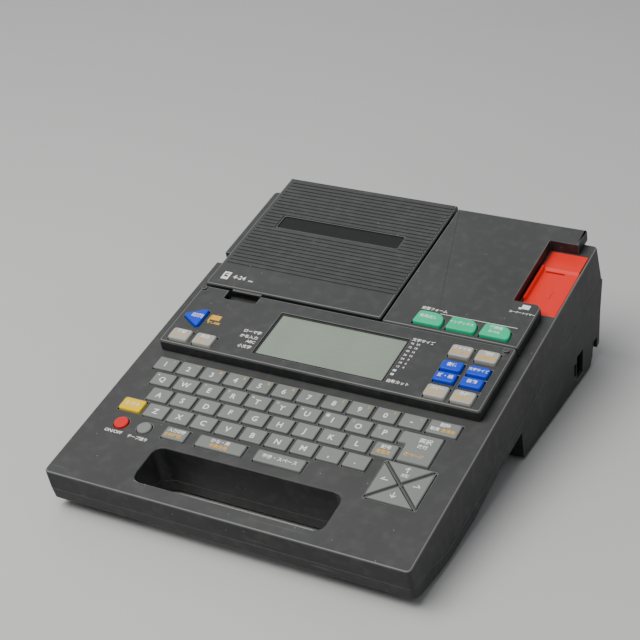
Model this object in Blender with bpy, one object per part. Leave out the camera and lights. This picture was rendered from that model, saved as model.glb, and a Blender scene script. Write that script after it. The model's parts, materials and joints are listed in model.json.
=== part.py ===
"""Desktop label maker with a keyboard, a hinged tape lid, a tape drive, a cutter and a trimmer.

Lengths are metres, +Z is up and the front of the machine faces -Y. Most pieces are placed in
the deck frame: x across the machine from its middle, y up the sloping deck from its front edge,
z at right angles to the deck. Pieces that stand level are placed in the case frame, which has
its origin on the table under the deck's front edge.
"""

import math

import bmesh
import bpy
from mathutils import Vector

MM = 0.001

# Driving dimensions of the case
CASE_WIDTH = 214.8 * MM
DECK_LENGTH = 262.0 * MM
DECK_TILT = math.radians(11.3)
FRONT_HEIGHT = 26.8 * MM
REAR_BULGE = 4.6 * MM
SIDE_DEPTH = 27.0 * MM
WALL = 2.4 * MM
GAP = 0.3 * MM
CORNER_RADIUS = 2.6 * MM

# Keyboard
KEY_PITCH = 15.3 * MM
ROW_PITCH = 11.9 * MM
ROW_SHIFT = KEY_PITCH / 3
KEY_WIDTH = 13.0 * MM
KEY_DEPTH = 9.6 * MM
FIRST_KEY = (20.5 * MM, 94.3 * MM)
KEY_RISE = 1.1 * MM
PANEL_KEY_RISE = 1.8 * MM
KEY_TRAVEL = 1.0 * MM
KEY_DOME_HEIGHT = 0.5 * MM
BOARD_THICKNESS = 1.2 * MM
KEY_BEVEL = 0.5 * MM
KEY_CLEARANCE = 0.4 * MM
FLANGE_LIP = 0.7 * MM
FLANGE_THICKNESS = 1.0 * MM

# Raised deck: display panel, mechanism cover and tape lid share one height
RAISED_HEIGHT = 7.3 * MM
RAISED_WALL = 2.2 * MM
PANEL_FRONT_WALL = 1.0 * MM
COVER_FRONT_WALL = 1.4 * MM
EDGE_CHAMFER = 0.8 * MM
RIM_CHAMFER = 0.5 * MM
PANEL = (9.8 * MM, 105.0 * MM, 207.2 * MM, 157.0 * MM)
COVER = (126.0 * MM, 157.4 * MM, 207.2 * MM, 266.3 * MM)
LID = (9.4 * MM, 159.2 * MM, 124.6 * MM, 269.0 * MM)
LCD_OPENING = (68.0 * MM, 111.2 * MM, 148.6 * MM, 147.3 * MM)
LID_WINDOW = (25.3 * MM, 219.8 * MM, 106.5 * MM, 231.4 * MM)
FINGER_POCKET = (27.6 * MM, 149.2 * MM, 48.8 * MM, 158.4 * MM)
HINGE_AXIS = (265.0 * MM, 2.2 * MM)
HINGE_EARS = (20.0 * MM, 113.0 * MM)
HINGE_BORE_RADIUS = 1.3 * MM
HINGE_PIN_RADIUS = 0.9 * MM

# Carrying handle, cut through the front of both casings
HAND_HOLE = (50.0 * MM, 9.3 * MM, 162.3 * MM, 35.7 * MM)
HAND_HOLE_RADIUS = 5.6 * MM

# Tape side
TAPE_LINE = 191.5 * MM
EXIT_NOTCH = (186.4 * MM, 196.6 * MM)
BAY = (14.4 * MM, 163.9 * MM, 120.6 * MM, 257.6 * MM)
BAY_TOP = -0.5 * MM
BAY_FLOOR = -38.0 * MM
PLATEN_AXIS = (24.0 * MM, 197.0 * MM)
SPINDLE_AXIS = (60.0 * MM, 211.0 * MM)
PLATEN_RADIUS = 4.5 * MM

# Tape drive gears, all of one module
MODULE = 1.0 * MM
PINION_TEETH = 10
IDLER_TEETH = 20
PLATEN_TEETH = 20
SPINDLE_TEETH = 24
GEAR_TOP = -40.6 * MM
GEAR_BOTTOM = -44.6 * MM
PINION_HEADING = math.radians(-72.0)

# Trimmer
TRIMMER = (190.8 * MM, 195.2 * MM, 213.6 * MM, 250.8 * MM)

COLOURS = {
    "charcoal": (0.045, 0.048, 0.047, 0.55),
    "key_grey": (0.22, 0.23, 0.22, 0.5),
    "light_grey": (0.46, 0.45, 0.41, 0.5),
    "yellow": (0.90, 0.60, 0.03, 0.45),
    "red": (0.72, 0.05, 0.05, 0.45),
    "blue": (0.03, 0.09, 0.62, 0.45),
    "green": (0.07, 0.56, 0.30, 0.45),
    "smoke": (0.03, 0.03, 0.03, 0.2),
    "display": (0.28, 0.34, 0.28, 0.3),
    "board": (0.02, 0.16, 0.06, 0.5),
    "rubber": (0.02, 0.02, 0.02, 0.9),
    "white_plastic": (0.70, 0.69, 0.64, 0.5),
    "steel": (0.55, 0.55, 0.56, 0.3),
    "cartridge": (0.50, 0.51, 0.52, 0.5),
}
METALS = ("steel",)


# ---------------------------------------------------------------- outlines


def rectangle(box, radius=0.0, segments=3):
    """Counter-clockwise outline of the box (low x, low y, high x, high y), with round corners."""
    x0, y0, x1, y1 = box
    if radius == 0.0:
        return [(x0, y0), (x1, y0), (x1, y1), (x0, y1)]
    centres = (
        (x0 + radius, y0 + radius, 180.0),
        (x1 - radius, y0 + radius, 270.0),
        (x1 - radius, y1 - radius, 0.0),
        (x0 + radius, y1 - radius, 90.0),
    )
    points = []
    for cx, cy, start in centres:
        for step in range(segments + 1):
            angle = math.radians(start + 90.0 * step / segments)
            points.append((cx + radius * math.cos(angle), cy + radius * math.sin(angle)))
    return points


def centred(width, depth):
    return (-width / 2, -depth / 2, width / 2, depth / 2)


def circle(radius, sides, centre=(0.0, 0.0)):
    return [
        (
            centre[0] + radius * math.cos(2 * math.pi * k / sides),
            centre[1] + radius * math.sin(2 * math.pi * k / sides),
        )
        for k in range(sides)
    ]


def offset(outline, distance):
    """The outline moved outwards by the distance, with mitred corners."""
    moved = []
    for k, point in enumerate(outline):
        here = Vector(point)
        into = (here - Vector(outline[k - 1])).normalized()
        out = (Vector(outline[(k + 1) % len(outline)]) - here).normalized()
        normals = Vector((into.y, -into.x)) + Vector((out.y, -out.x))
        moved.append(tuple(here + normals * (2 * distance / normals.length_squared)))
    return moved


def shifted(outline, dx, dy):
    return [(x + dx, y + dy) for x, y in outline]


def gear_outline(teeth, phase):
    """Trapezoid teeth on the pitch circle, one of them centred at the phase angle."""
    pitch_radius = MODULE * teeth / 2
    pitch_angle = 2 * math.pi / teeth
    corners = (
        (pitch_radius - 1.15 * MODULE, -0.33),
        (pitch_radius + 0.85 * MODULE, -0.12),
        (pitch_radius + 0.85 * MODULE, 0.12),
        (pitch_radius - 1.15 * MODULE, 0.33),
    )
    points = []
    for tooth in range(teeth):
        for radius, share in corners:
            angle = phase + pitch_angle * (tooth + share)
            points.append((radius * math.cos(angle), radius * math.sin(angle)))
    return points


# ---------------------------------------------------------------- meshes and objects


def material(colour):
    existing = bpy.data.materials.get(colour)
    if existing:
        return existing
    red, green, blue, roughness = COLOURS[colour]
    made = bpy.data.materials.new(colour)
    made.use_nodes = True
    shader = made.node_tree.nodes["Principled BSDF"]
    shader.inputs["Base Color"].default_value = (red, green, blue, 1.0)
    shader.inputs["Roughness"].default_value = roughness
    shader.inputs["Metallic"].default_value = 1.0 if colour in METALS else 0.0
    return made


def stack(rings):
    """Closed solid through outlines of equal length, given as (outline, z) from low to high."""
    bm = bmesh.new()
    loops = [[bm.verts.new((x, y, z)) for x, y in outline] for outline, z in rings]
    bm.faces.new(list(reversed(loops[0])))
    bm.faces.new(loops[-1])
    for lower, upper in zip(loops, loops[1:]):
        for k in range(len(lower)):
            nxt = (k + 1) % len(lower)
            bm.faces.new((lower[k], lower[nxt], upper[nxt], upper[k]))
    return bm


def slab(outline, z0, z1):
    return stack([(outline, z0), (outline, z1)])


def prism(profile, x0, x1):
    """Side profile of (y, z) points, carried across from x0 to x1."""
    bm = bmesh.new()
    near = [bm.verts.new((x0, y, z)) for y, z in profile]
    far = [bm.verts.new((x1, y, z)) for y, z in profile]
    bm.faces.new(near)
    bm.faces.new(list(reversed(far)))
    for k in range(len(profile)):
        nxt = (k + 1) % len(profile)
        bm.faces.new((near[nxt], near[k], far[k], far[nxt]))
    bmesh.ops.recalc_face_normals(bm, faces=bm.faces)
    return bm


def joined(parts):
    """One mesh holding several separate solids, for a cutter or for a union."""
    whole = bmesh.new()
    for part in parts:
        piece = bpy.data.meshes.new("piece")
        part.to_mesh(piece)
        part.free()
        whole.from_mesh(piece)
        bpy.data.meshes.remove(piece)
    return whole


def place(name, bm, colour, parent, at=(0.0, 0.0, 0.0), smooth=False):
    mesh = bpy.data.meshes.new(name)
    bm.to_mesh(mesh)
    bm.free()
    if smooth:
        mesh.shade_smooth()
        mesh.set_sharp_from_angle(angle=math.radians(40))
    obj = bpy.data.objects.new(name, mesh)
    bpy.context.scene.collection.objects.link(obj)
    obj.parent = parent
    obj.location = at
    mesh.materials.append(material(colour))
    return obj


def carve(target, name, bm, operation="DIFFERENCE"):
    """Cuts the mesh out of the target, or joins it on, and returns the hidden tool object."""
    tool = place(name, bm, "charcoal", target.parent)
    tool.hide_render = True
    tool.display_type = "WIRE"
    modifier = target.modifiers.new(name, "BOOLEAN")
    modifier.operation = operation
    modifier.solver = "EXACT"
    modifier.object = tool
    return tool


def on_deck(box):
    """A box measured from the left side of the case, as one measured from its middle."""
    half = CASE_WIDTH / 2
    return (box[0] - half, box[1], box[2] - half, box[3])


def grown(box, distance):
    return (box[0] - distance, box[1] - distance, box[2] + distance, box[3] + distance)


def across(u):
    return u - CASE_WIDTH / 2


# ---------------------------------------------------------------- frames and side profiles


def deck_to_case(y, z):
    """A deck point as a case point: the deck leans back about its front edge."""
    return (
        y * math.cos(DECK_TILT) - z * math.sin(DECK_TILT),
        FRONT_HEIGHT + y * math.sin(DECK_TILT) + z * math.cos(DECK_TILT),
    )


def case_to_deck(y, z):
    rise = z - FRONT_HEIGHT
    return (
        y * math.cos(DECK_TILT) + rise * math.sin(DECK_TILT),
        -y * math.sin(DECK_TILT) + rise * math.cos(DECK_TILT),
    )


# Parting line between the casings, from the front to the rear, in the deck frame
PARTING = [
    (0.0, -12.0 * MM),
    (19.0 * MM, -17.0 * MM),
    (41.0 * MM, -26.0 * MM),
    (78.0 * MM, -SIDE_DEPTH),
    (DECK_LENGTH + REAR_BULGE, -SIDE_DEPTH),
]

# Underside of the lower casing, from the front to the rear, in the case frame
BELLY = [
    (12.0 * MM, 5.2 * MM),
    (33.0 * MM, 3.4 * MM),
    (45.0 * MM, 3.0 * MM),
    (76.0 * MM, 6.4 * MM),
    (109.0 * MM, 15.5 * MM),
    (141.0 * MM, 20.5 * MM),
    (144.0 * MM, 1.8 * MM),
    (249.0 * MM, 1.8 * MM),
    (252.0 * MM, 7.0 * MM),
    (263.6 * MM, 10.0 * MM),
    (264.2 * MM, 32.0 * MM),
]
LIP_BOTTOM = (0.8 * MM, -20.3 * MM)
BOX_FLOOR = 1.8 * MM


def round_corners(bm, half_width, radius):
    """Rounds the four upright corners of a casing, seen from above."""
    corners = [
        edge
        for edge in bm.edges
        if all(abs(abs(v.co.x) - half_width) < GAP for v in edge.verts)
        and edge.verts[0].co.x * edge.verts[1].co.x > 0
        and (all(v.co.y < LIP_BOTTOM[0] + GAP for v in edge.verts)
             or all(v.co.y > DECK_LENGTH - GAP for v in edge.verts))
    ]
    bmesh.ops.bevel(bm, geom=corners, offset=radius, segments=3, profile=0.5, affect="EDGES")


def hand_hole_tool(z0, z1, wall):
    return slab(rectangle(grown(on_deck(HAND_HOLE), wall), HAND_HOLE_RADIUS + wall), z0, z1)


# ---------------------------------------------------------------- keys


def key_centre(row, column):
    return (
        FIRST_KEY[0] + row * ROW_SHIFT + column * KEY_PITCH,
        FIRST_KEY[1] - row * ROW_PITCH,
    )


def arrow_outline(direction):
    """One quarter of the square cursor pad, split along its diagonals."""
    half_x, half_y = 15.2 * MM, 14.4 * MM
    along = {
        "left": [(-half_x, half_y), (-half_x, -half_y)],
        "right": [(half_x, -half_y), (half_x, half_y)],
        "up": [(half_x, half_y), (-half_x, half_y)],
        "down": [(-half_x, -half_y), (half_x, -half_y)],
    }
    return offset([(0.0, 0.0)] + along[direction], -1.0 * MM)


def enter_outline():
    """Enter key: a wide upper bar and a lower block, about the middle of the lower block."""
    return [
        (-9.1 * MM, -10.5 * MM),
        (9.1 * MM, -10.5 * MM),
        (9.1 * MM, 10.5 * MM),
        (-14.1 * MM, 10.5 * MM),
        (-14.1 * MM, 1.7 * MM),
        (-9.1 * MM, 1.7 * MM),
    ]


def print_outline():
    """Print key: a triangle that points left, with blunt corners."""
    return [
        (-6.4 * MM, -0.9 * MM),
        (4.7 * MM, -7.6 * MM),
        (6.2 * MM, -6.6 * MM),
        (6.2 * MM, 6.6 * MM),
        (4.7 * MM, 7.6 * MM),
        (-6.4 * MM, 0.9 * MM),
    ]


def form_outline():
    """Form keys: a bar whose rear right corner is well rounded."""
    half_x, half_y, radius = 8.7 * MM, 5.2 * MM, 6.5 * MM
    corner = [
        (
            half_x - radius + radius * math.cos(math.radians(30 * step)),
            half_y - radius + radius * math.sin(math.radians(30 * step)),
        )
        for step in range(4)
    ]
    return [(-half_x, -half_y), (half_x, -half_y)] + corner + [(-half_x + 0.8 * MM, half_y)]


def key_solid(outline, seat, top):
    """A cap with a bevelled top and a flange that keeps it under the surface it stands in."""
    flange = offset(outline, FLANGE_LIP)
    flange_top = seat - GAP
    shoulder = top - 1.4 * KEY_BEVEL
    return stack(
        [
            (flange, flange_top - FLANGE_THICKNESS),
            (flange, flange_top),
            (outline, flange_top),
            (outline, shoulder),
            (offset(outline, -KEY_BEVEL), top),
        ]
    )


def key_opening(outline, centre, seat, top):
    around = shifted(offset(outline, KEY_CLEARANCE), across(centre[0]), centre[1])
    return slab(around, seat - 1.0 * MM, top + 1.0 * MM)


# Name, outline, centre from the left side and front edge, colour
ARROW_CENTRE = (186.3 * MM, 50.8 * MM)
DECK_KEYS = [
    ("key_power", circle(4.3 * MM, 16), (21.1 * MM, 45.2 * MM), "red"),
    ("key_tape_feed", circle(4.3 * MM, 16), (36.0 * MM, 45.4 * MM), "key_grey"),
    ("key_shift", rectangle(centred(14.0 * MM, 9.2 * MM)), (19.7 * MM, 59.3 * MM), "yellow"),
    ("key_convert", rectangle(centred(14.2 * MM, 8.4 * MM)), (55.6 * MM, 46.3 * MM), "key_grey"),
    ("key_kana", rectangle(centred(28.6 * MM, 8.2 * MM)), (83.7 * MM, 46.5 * MM), "key_grey"),
    ("key_space", rectangle(centred(28.6 * MM, 8.2 * MM)), (119.3 * MM, 46.5 * MM), "key_grey"),
    ("key_symbol", rectangle(centred(KEY_WIDTH, KEY_DEPTH)), key_centre(2, 9), "key_grey"),
    ("key_delete", rectangle(centred(17.6 * MM, KEY_DEPTH)), (191.1 * MM, 94.3 * MM), "key_grey"),
    ("key_enter", enter_outline(), (185.8 * MM, 76.5 * MM), "key_grey"),
    ("key_left", arrow_outline("left"), ARROW_CENTRE, "key_grey"),
    ("key_right", arrow_outline("right"), ARROW_CENTRE, "key_grey"),
    ("key_up", arrow_outline("up"), ARROW_CENTRE, "key_grey"),
    ("key_down", arrow_outline("down"), ARROW_CENTRE, "key_grey"),
]

# Name of the row moulding and how many plain caps it carries
KEY_ROWS = [
    ("number_key_row", 11),
    ("upper_key_row", 10),
    ("home_key_row", 9),
    ("lower_key_row", 9),
]

WIDE_CAP = rectangle(centred(12.6 * MM, 9.0 * MM))
SLIM_CAP = rectangle(centred(12.2 * MM, 7.4 * MM))
LEFT_COLUMN = 179.8 * MM
RIGHT_COLUMN = 195.1 * MM
FRONT_CAPS = 112.1 * MM
PANEL_KEYS = [
    ("key_print", print_outline(), (20.4 * MM, 128.7 * MM), "blue"),
    ("key_preview", WIDE_CAP, (20.9 * MM, FRONT_CAPS), "light_grey"),
    ("key_margin", WIDE_CAP, (36.6 * MM, FRONT_CAPS), "light_grey"),
    ("key_file", WIDE_CAP, (LEFT_COLUMN, 145.0 * MM), "light_grey"),
    ("key_layout", WIDE_CAP, (RIGHT_COLUMN, 145.0 * MM), "light_grey"),
    ("key_font", SLIM_CAP, (LEFT_COLUMN, 132.8 * MM), "blue"),
    ("key_size", SLIM_CAP, (RIGHT_COLUMN, 132.8 * MM), "blue"),
    ("key_direction", SLIM_CAP, (LEFT_COLUMN, 123.6 * MM), "blue"),
    ("key_style", SLIM_CAP, (RIGHT_COLUMN, 123.6 * MM), "blue"),
    ("key_copy", WIDE_CAP, (LEFT_COLUMN, FRONT_CAPS), "light_grey"),
    ("key_frame", WIDE_CAP, (RIGHT_COLUMN, FRONT_CAPS), "light_grey"),
]
FORM_PITCH = 19.8 * MM
FORM_KEYS = [
    (name, form_outline(), (152.0 * MM + FORM_PITCH * place_in_row, 165.7 * MM), "green")
    for place_in_row, name in enumerate(("key_form_first", "key_form_second", "key_form_third"))
]


def add_keys(keys, seat, top, parent):
    for name, outline, centre, colour in keys:
        at = (across(centre[0]), centre[1], 0.0)
        place(name, key_solid(outline, seat, top), colour, parent, at)


def add_key_rows(parent):
    """Each row of plain caps rises from one flexible strip under the deck."""
    seat = -WALL
    strip_top = seat - GAP
    strip_bottom = strip_top - FLANGE_THICKNESS
    half_depth = KEY_DEPTH / 2 + FLANGE_LIP
    for row, (name, count) in enumerate(KEY_ROWS):
        first = across(key_centre(row, 0)[0])
        middle = key_centre(row, 0)[1]
        start = first - KEY_WIDTH / 2 - FLANGE_LIP
        end = first + (count - 1) * KEY_PITCH + KEY_WIDTH / 2 + FLANGE_LIP
        strip = slab(rectangle((start, -half_depth, end, half_depth)), strip_bottom, strip_top)
        row_object = place(name, strip, "key_grey", parent, (0.0, middle, 0.0))
        cap = rectangle(centred(KEY_WIDTH, KEY_DEPTH))
        caps = []
        for column in range(count):
            here = shifted(cap, first + column * KEY_PITCH, 0.0)
            rings = [
                (here, strip_bottom + FLANGE_THICKNESS / 2),
                (here, KEY_RISE - 1.4 * KEY_BEVEL),
                (offset(here, -KEY_BEVEL), KEY_RISE),
            ]
            caps.append(stack(rings))
        tool = carve(row_object, name + "_caps", joined(caps), "UNION")
        tool.location = (0.0, middle, 0.0)


def row_openings():
    cap = rectangle(centred(KEY_WIDTH, KEY_DEPTH))
    return [
        key_opening(cap, key_centre(row, column), -WALL, 0.0)
        for row, (name, count) in enumerate(KEY_ROWS)
        for column in range(count)
    ]


# ---------------------------------------------------------------- casings


def add_upper_case(deck):
    half = CASE_WIDTH / 2
    profile = [(0.0, 0.0)] + PARTING + [(DECK_LENGTH, 0.0)]
    outer = prism(profile, -half, half)
    round_corners(outer, half, CORNER_RADIUS)
    rim = [edge for edge in outer.edges if all(abs(v.co.z) < GAP for v in edge.verts)]
    bmesh.ops.bevel(outer, geom=rim, offset=RIM_CHAMFER, segments=1, affect="EDGES")
    case = place("upper_case", outer, "charcoal", deck)
    rear = DECK_LENGTH - WALL
    inside = [
        (WALL, -WALL),
        (rear, -WALL),
        (rear + 1.3 * REAR_BULGE, -1.3 * SIDE_DEPTH),
        (WALL, -1.3 * SIDE_DEPTH),
    ]
    room = carve(case, "upper_room", prism(inside, WALL - half, half - WALL))
    carve(room, "upper_handle_sleeve", hand_hole_tool(-2 * SIDE_DEPTH, GAP, WALL))
    carve(case, "upper_hand_hole", hand_hole_tool(-2 * SIDE_DEPTH, 5 * GAP, 0.0))
    openings = row_openings()
    for name, outline, centre, colour in DECK_KEYS:
        openings.append(key_opening(outline, centre, -WALL, 0.0))
    openings.append(slab(rectangle(on_deck(grown(BAY, 0.4 * MM))), -2 * WALL, WALL))
    openings.append(slab(rectangle(on_deck(TRIMMER)), -1.5 * WALL, WALL))
    carve(case, "deck_openings", joined(openings))
    notch = rectangle((-half - WALL, EXIT_NOTCH[0], 4.6 * MM - half, EXIT_NOTCH[1]), 0.0)
    carve(case, "tape_exit_notch", slab(notch, -0.95 * SIDE_DEPTH, WALL))
    ears = [hinge_ear(u) for u in HINGE_EARS]
    carve(case, "hinge_ears", joined(ears), "UNION")
    carve(case, "hinge_bore", hinge_rod(HINGE_BORE_RADIUS, 16.0 * MM, 118.0 * MM))


def hinge_ear(u):
    """An ear behind the deck that carries the lid's pin."""
    y, z = HINGE_AXIS
    radius = 2.4 * MM
    profile = [
        (y + radius * math.cos(math.radians(angle)), z + radius * math.sin(math.radians(angle)))
        for angle in range(-60, 151, 30)
    ]
    profile += [(DECK_LENGTH - 3.2 * MM, -0.6 * WALL), (DECK_LENGTH + 0.2 * MM, -0.9 * WALL)]
    return prism(profile, across(u) - 2.5 * MM, across(u) + 2.5 * MM)


def hinge_rod(radius, start, end):
    y, z = HINGE_AXIS
    return prism(circle(radius, 8, (y, z)), across(start), across(end))


def add_lower_case(case_frame, deck):
    half = CASE_WIDTH / 2
    belly = [case_to_deck(y, z) for y, z in BELLY]
    seam = [(y, z - GAP) for y, z in reversed(PARTING)]
    outer = prism([LIP_BOTTOM] + belly + seam, -half, half)
    round_corners(outer, half, CORNER_RADIUS)
    case = place("lower_case", outer, "charcoal", deck)
    high = 5.0 * MM
    around = [(0.0, -10.0 * MM), LIP_BOTTOM] + belly
    around += [(DECK_LENGTH + REAR_BULGE, -SIDE_DEPTH), (DECK_LENGTH + REAR_BULGE, high), (0.0, high)]
    room = carve(case, "lower_room", prism(offset(around, -WALL), WALL - half, half - WALL))
    carve(room, "lower_handle_sleeve", hand_hole_tool(-3 * SIDE_DEPTH, 2 * high, WALL))
    carve(case, "lower_hand_hole", hand_hole_tool(-2 * SIDE_DEPTH, 0.0, 0.0))
    x0, y0, x1, y1 = grown(BATTERY_DOOR, 0.4 * MM)
    way_out = rectangle((x0, y0, x1, y1 + 3.0 * MM))
    door_tool = carve(case, "battery_opening", slab(way_out, 0.0, BATTERY_DOOR_TOP + 0.5 * MM))
    door_tool.parent = case_frame
    jack_tool = carve(case, "jack_opening", jack_box(0.3 * MM, half - 2 * WALL, half + WALL))
    jack_tool.parent = case_frame


# ---------------------------------------------------------------- raised deck


def raised_shell(name, box, z0, deck, radius, keep=None, front_wall=RAISED_WALL):
    """A shallow cap, open below. keep is a solid that the hollow goes round."""
    outline = rectangle(on_deck(box), radius)
    rings = [
        (outline, z0),
        (outline, RAISED_HEIGHT - EDGE_CHAMFER),
        (offset(outline, -EDGE_CHAMFER), RAISED_HEIGHT),
    ]
    shell = place(name, stack(rings), "charcoal", deck)
    x0, y0, x1, y1 = on_deck(grown(box, -RAISED_WALL))
    inner = rectangle((x0, y0 - RAISED_WALL + front_wall, x1, y1))
    room = carve(shell, name + "_room", slab(inner, z0 - WALL, RAISED_HEIGHT - RAISED_WALL))
    if keep:
        carve(room, name + "_kept", keep)
    return shell


def add_display_panel(deck):
    panel = raised_shell("display_panel", PANEL, GAP, deck, 1.8 * MM, front_wall=PANEL_FRONT_WALL)
    seat = RAISED_HEIGHT - RAISED_WALL
    openings = [key_opening(o, c, seat, RAISED_HEIGHT) for n, o, c, colour in PANEL_KEYS]
    openings.append(slab(rectangle(on_deck(LCD_OPENING)), seat - GAP, RAISED_HEIGHT + GAP))
    pocket = rectangle(on_deck(FINGER_POCKET), 1.5 * MM)
    openings.append(slab(pocket, 1.2 * MM, RAISED_HEIGHT + WALL))
    carve(panel, "panel_openings", joined(openings))
    studs = [
        slab(circle(1.8 * MM, 10, (across(u), v)), RAISED_HEIGHT - 1.0 * MM, RAISED_HEIGHT + 1.4 * MM)
        for u, v in ((12.4 * MM, 153.6 * MM), (202.6 * MM, 153.0 * MM))
    ]
    carve(panel, "panel_studs", joined(studs), "UNION")


def add_mechanism_cover(deck):
    x0, y0, x1, y1 = on_deck(TRIMMER)
    recess = [
        (x0 - 0.8 * MM, y0 - 0.6 * MM),
        (x1 - 9.2 * MM, y0 - 0.6 * MM),
        (x1 - 4.4 * MM, y0 - 5.6 * MM),
        (x1, y0 - 5.6 * MM),
        (x1, y1 + 0.4 * MM),
        (x0 - 0.8 * MM, y1 + 0.4 * MM),
    ]
    kept = slab(offset(recess, RAISED_WALL), -2 * WALL, 2 * RAISED_HEIGHT)
    cover = raised_shell("mechanism_cover", COVER, GAP, deck, 1.0 * MM, kept, COVER_FRONT_WALL)
    seat = RAISED_HEIGHT - RAISED_WALL
    openings = [key_opening(o, c, seat, RAISED_HEIGHT) for n, o, c, colour in FORM_KEYS]
    openings.append(slab(recess, -GAP, RAISED_HEIGHT + WALL))
    carve(cover, "cover_openings", joined(openings))


def add_tape_lid(deck):
    lid = raised_shell("tape_lid", LID, 0.5 * MM, deck, 1.0 * MM)
    window = rectangle(on_deck(LID_WINDOW), 1.2 * MM)
    openings = [slab(window, RAISED_HEIGHT - 2 * RAISED_WALL, RAISED_HEIGHT + WALL)]
    for u in HINGE_EARS:
        gate = (u - 3.2 * MM, HINGE_AXIS[0] - 1.0 * MM, u + 3.2 * MM, LID[3] + WALL)
        openings.append(slab(rectangle(on_deck(gate)), -WALL, RAISED_HEIGHT - 1.9 * MM))
    carve(lid, "lid_openings", joined(openings))
    carve(lid, "lid_pin_bore", hinge_rod(HINGE_BORE_RADIUS, LID[0] - WALL, LID[2] + WALL))
    tab = (28.6 * MM, LID[1] - 1.3 * MM, 47.8 * MM, LID[1] + 1.0 * MM)
    carve(lid, "finger_tab", slab(rectangle(on_deck(tab)), 4.6 * MM, 6.3 * MM), "UNION")
    pin = hinge_rod(HINGE_PIN_RADIUS, LID[0] + GAP, LID[2] - GAP)
    place("lid_hinge_pin", pin, "steel", deck, smooth=True)
    add_window("lid_window", LID_WINDOW, 6.9 * MM, "smoke", deck, 1.2 * MM)


def add_window(name, box, top, colour, deck, radius):
    """A clear plate that fills an opening and is held by its rim from below."""
    outline = rectangle(on_deck(grown(box, -GAP)), radius)
    seat = RAISED_HEIGHT - RAISED_WALL - GAP
    rim = offset(outline, 1.5 * MM)
    rings = [(rim, seat - 1.2 * MM), (rim, seat), (outline, seat), (outline, top)]
    place(name, stack(rings), colour, deck)


# ---------------------------------------------------------------- boards and display


def add_boards(deck):
    reach = GAP + FLANGE_THICKNESS + KEY_TRAVEL + KEY_DOME_HEIGHT
    keyboard = (10.0 * MM, 38.9 * MM, 204.8 * MM, 103.0 * MM)
    top = -WALL - reach
    sheet = slab(rectangle(on_deck(keyboard)), top - BOARD_THICKNESS, top)
    place("keyboard_board", sheet, "board", deck)
    display = (13.0 * MM, 108.0 * MM, 204.0 * MM, 148.6 * MM)
    top = RAISED_HEIGHT - RAISED_WALL - reach
    sheet = slab(rectangle(on_deck(display)), top - BOARD_THICKNESS, top)
    board = place("display_board", sheet, "board", deck)
    module = slab(rectangle(on_deck(grown(LCD_OPENING, 1.0 * MM))), top - GAP, top + 1.0 * MM)
    carve(board, "lcd_module", module, "UNION")
    add_window("lcd_window", LCD_OPENING, 6.3 * MM, "display", deck, 0.3 * MM)
    left, right, step = across(129.4 * MM), across(204.0 * MM), across(186.0 * MM)
    outline = [
        (left, 160.4 * MM),
        (right, 160.4 * MM),
        (right, 172.0 * MM),
        (step, 176.0 * MM),
        (step, 262.0 * MM),
        (left, 262.0 * MM),
    ]
    place("main_board", slab(outline, top - BOARD_THICKNESS, top), "board", deck)


# ---------------------------------------------------------------- tape drive


def meet(first, second, from_first, from_second):
    """The point at given distances from two others, on the front side of the line between them."""
    a, b = Vector(first), Vector(second)
    span = (b - a).length
    along = (span**2 + from_first**2 - from_second**2) / (2 * span)
    aside = math.sqrt(from_first**2 - along**2)
    unit = (b - a) / span
    return tuple(a + unit * along + Vector((unit.y, -unit.x)) * aside)


def meshed_phase(driver, driver_teeth, driver_phase, driven, driven_teeth):
    """The phase that sets a gap of the driven gear against a tooth of its driver."""
    heading = math.atan2(driven[1] - driver[1], driven[0] - driver[0])
    turned = (driver_teeth / driven_teeth) * (heading - driver_phase)
    return heading + math.pi + math.pi / driven_teeth + turned


IDLER_AXIS = meet(
    PLATEN_AXIS,
    SPINDLE_AXIS,
    MODULE * (PLATEN_TEETH + IDLER_TEETH) / 2,
    MODULE * (SPINDLE_TEETH + IDLER_TEETH) / 2,
)
PINION_REACH = MODULE * (PINION_TEETH + IDLER_TEETH) / 2
PINION_AXIS = (
    IDLER_AXIS[0] + PINION_REACH * math.cos(PINION_HEADING),
    IDLER_AXIS[1] + PINION_REACH * math.sin(PINION_HEADING),
)


def add_bay(deck):
    """The well that holds the cartridge, with the tape slot and the idler's axle."""
    box = on_deck(BAY)
    bay = place("cartridge_bay", slab(rectangle(box), BAY_FLOOR, BAY_TOP), "charcoal", deck)
    wall = 1.6 * MM
    carve(bay, "bay_room", slab(rectangle(grown(box, -wall)), BAY_FLOOR + wall, BAY_TOP + wall))
    slot = (BAY[0] - wall, TAPE_LINE - 3.0 * MM, BAY[0] + 2 * wall, TAPE_LINE + 3.0 * MM)
    holes = [slab(rectangle(on_deck(slot)), BAY_FLOOR + 3 * MM, BAY_TOP - 3 * MM)]
    for axis in (PLATEN_AXIS, SPINDLE_AXIS):
        centre = (across(axis[0]), axis[1])
        holes.append(slab(circle(2.2 * MM, 12, centre), BAY_FLOOR - wall, BAY_FLOOR + 2 * wall))
    carve(bay, "bay_openings", joined(holes))
    axle = circle(1.5 * MM, 12, (across(IDLER_AXIS[0]), IDLER_AXIS[1]))
    carve(bay, "idler_axle", slab(axle, GEAR_BOTTOM - 1.0 * MM, BAY_FLOOR + wall / 2), "UNION")


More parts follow.
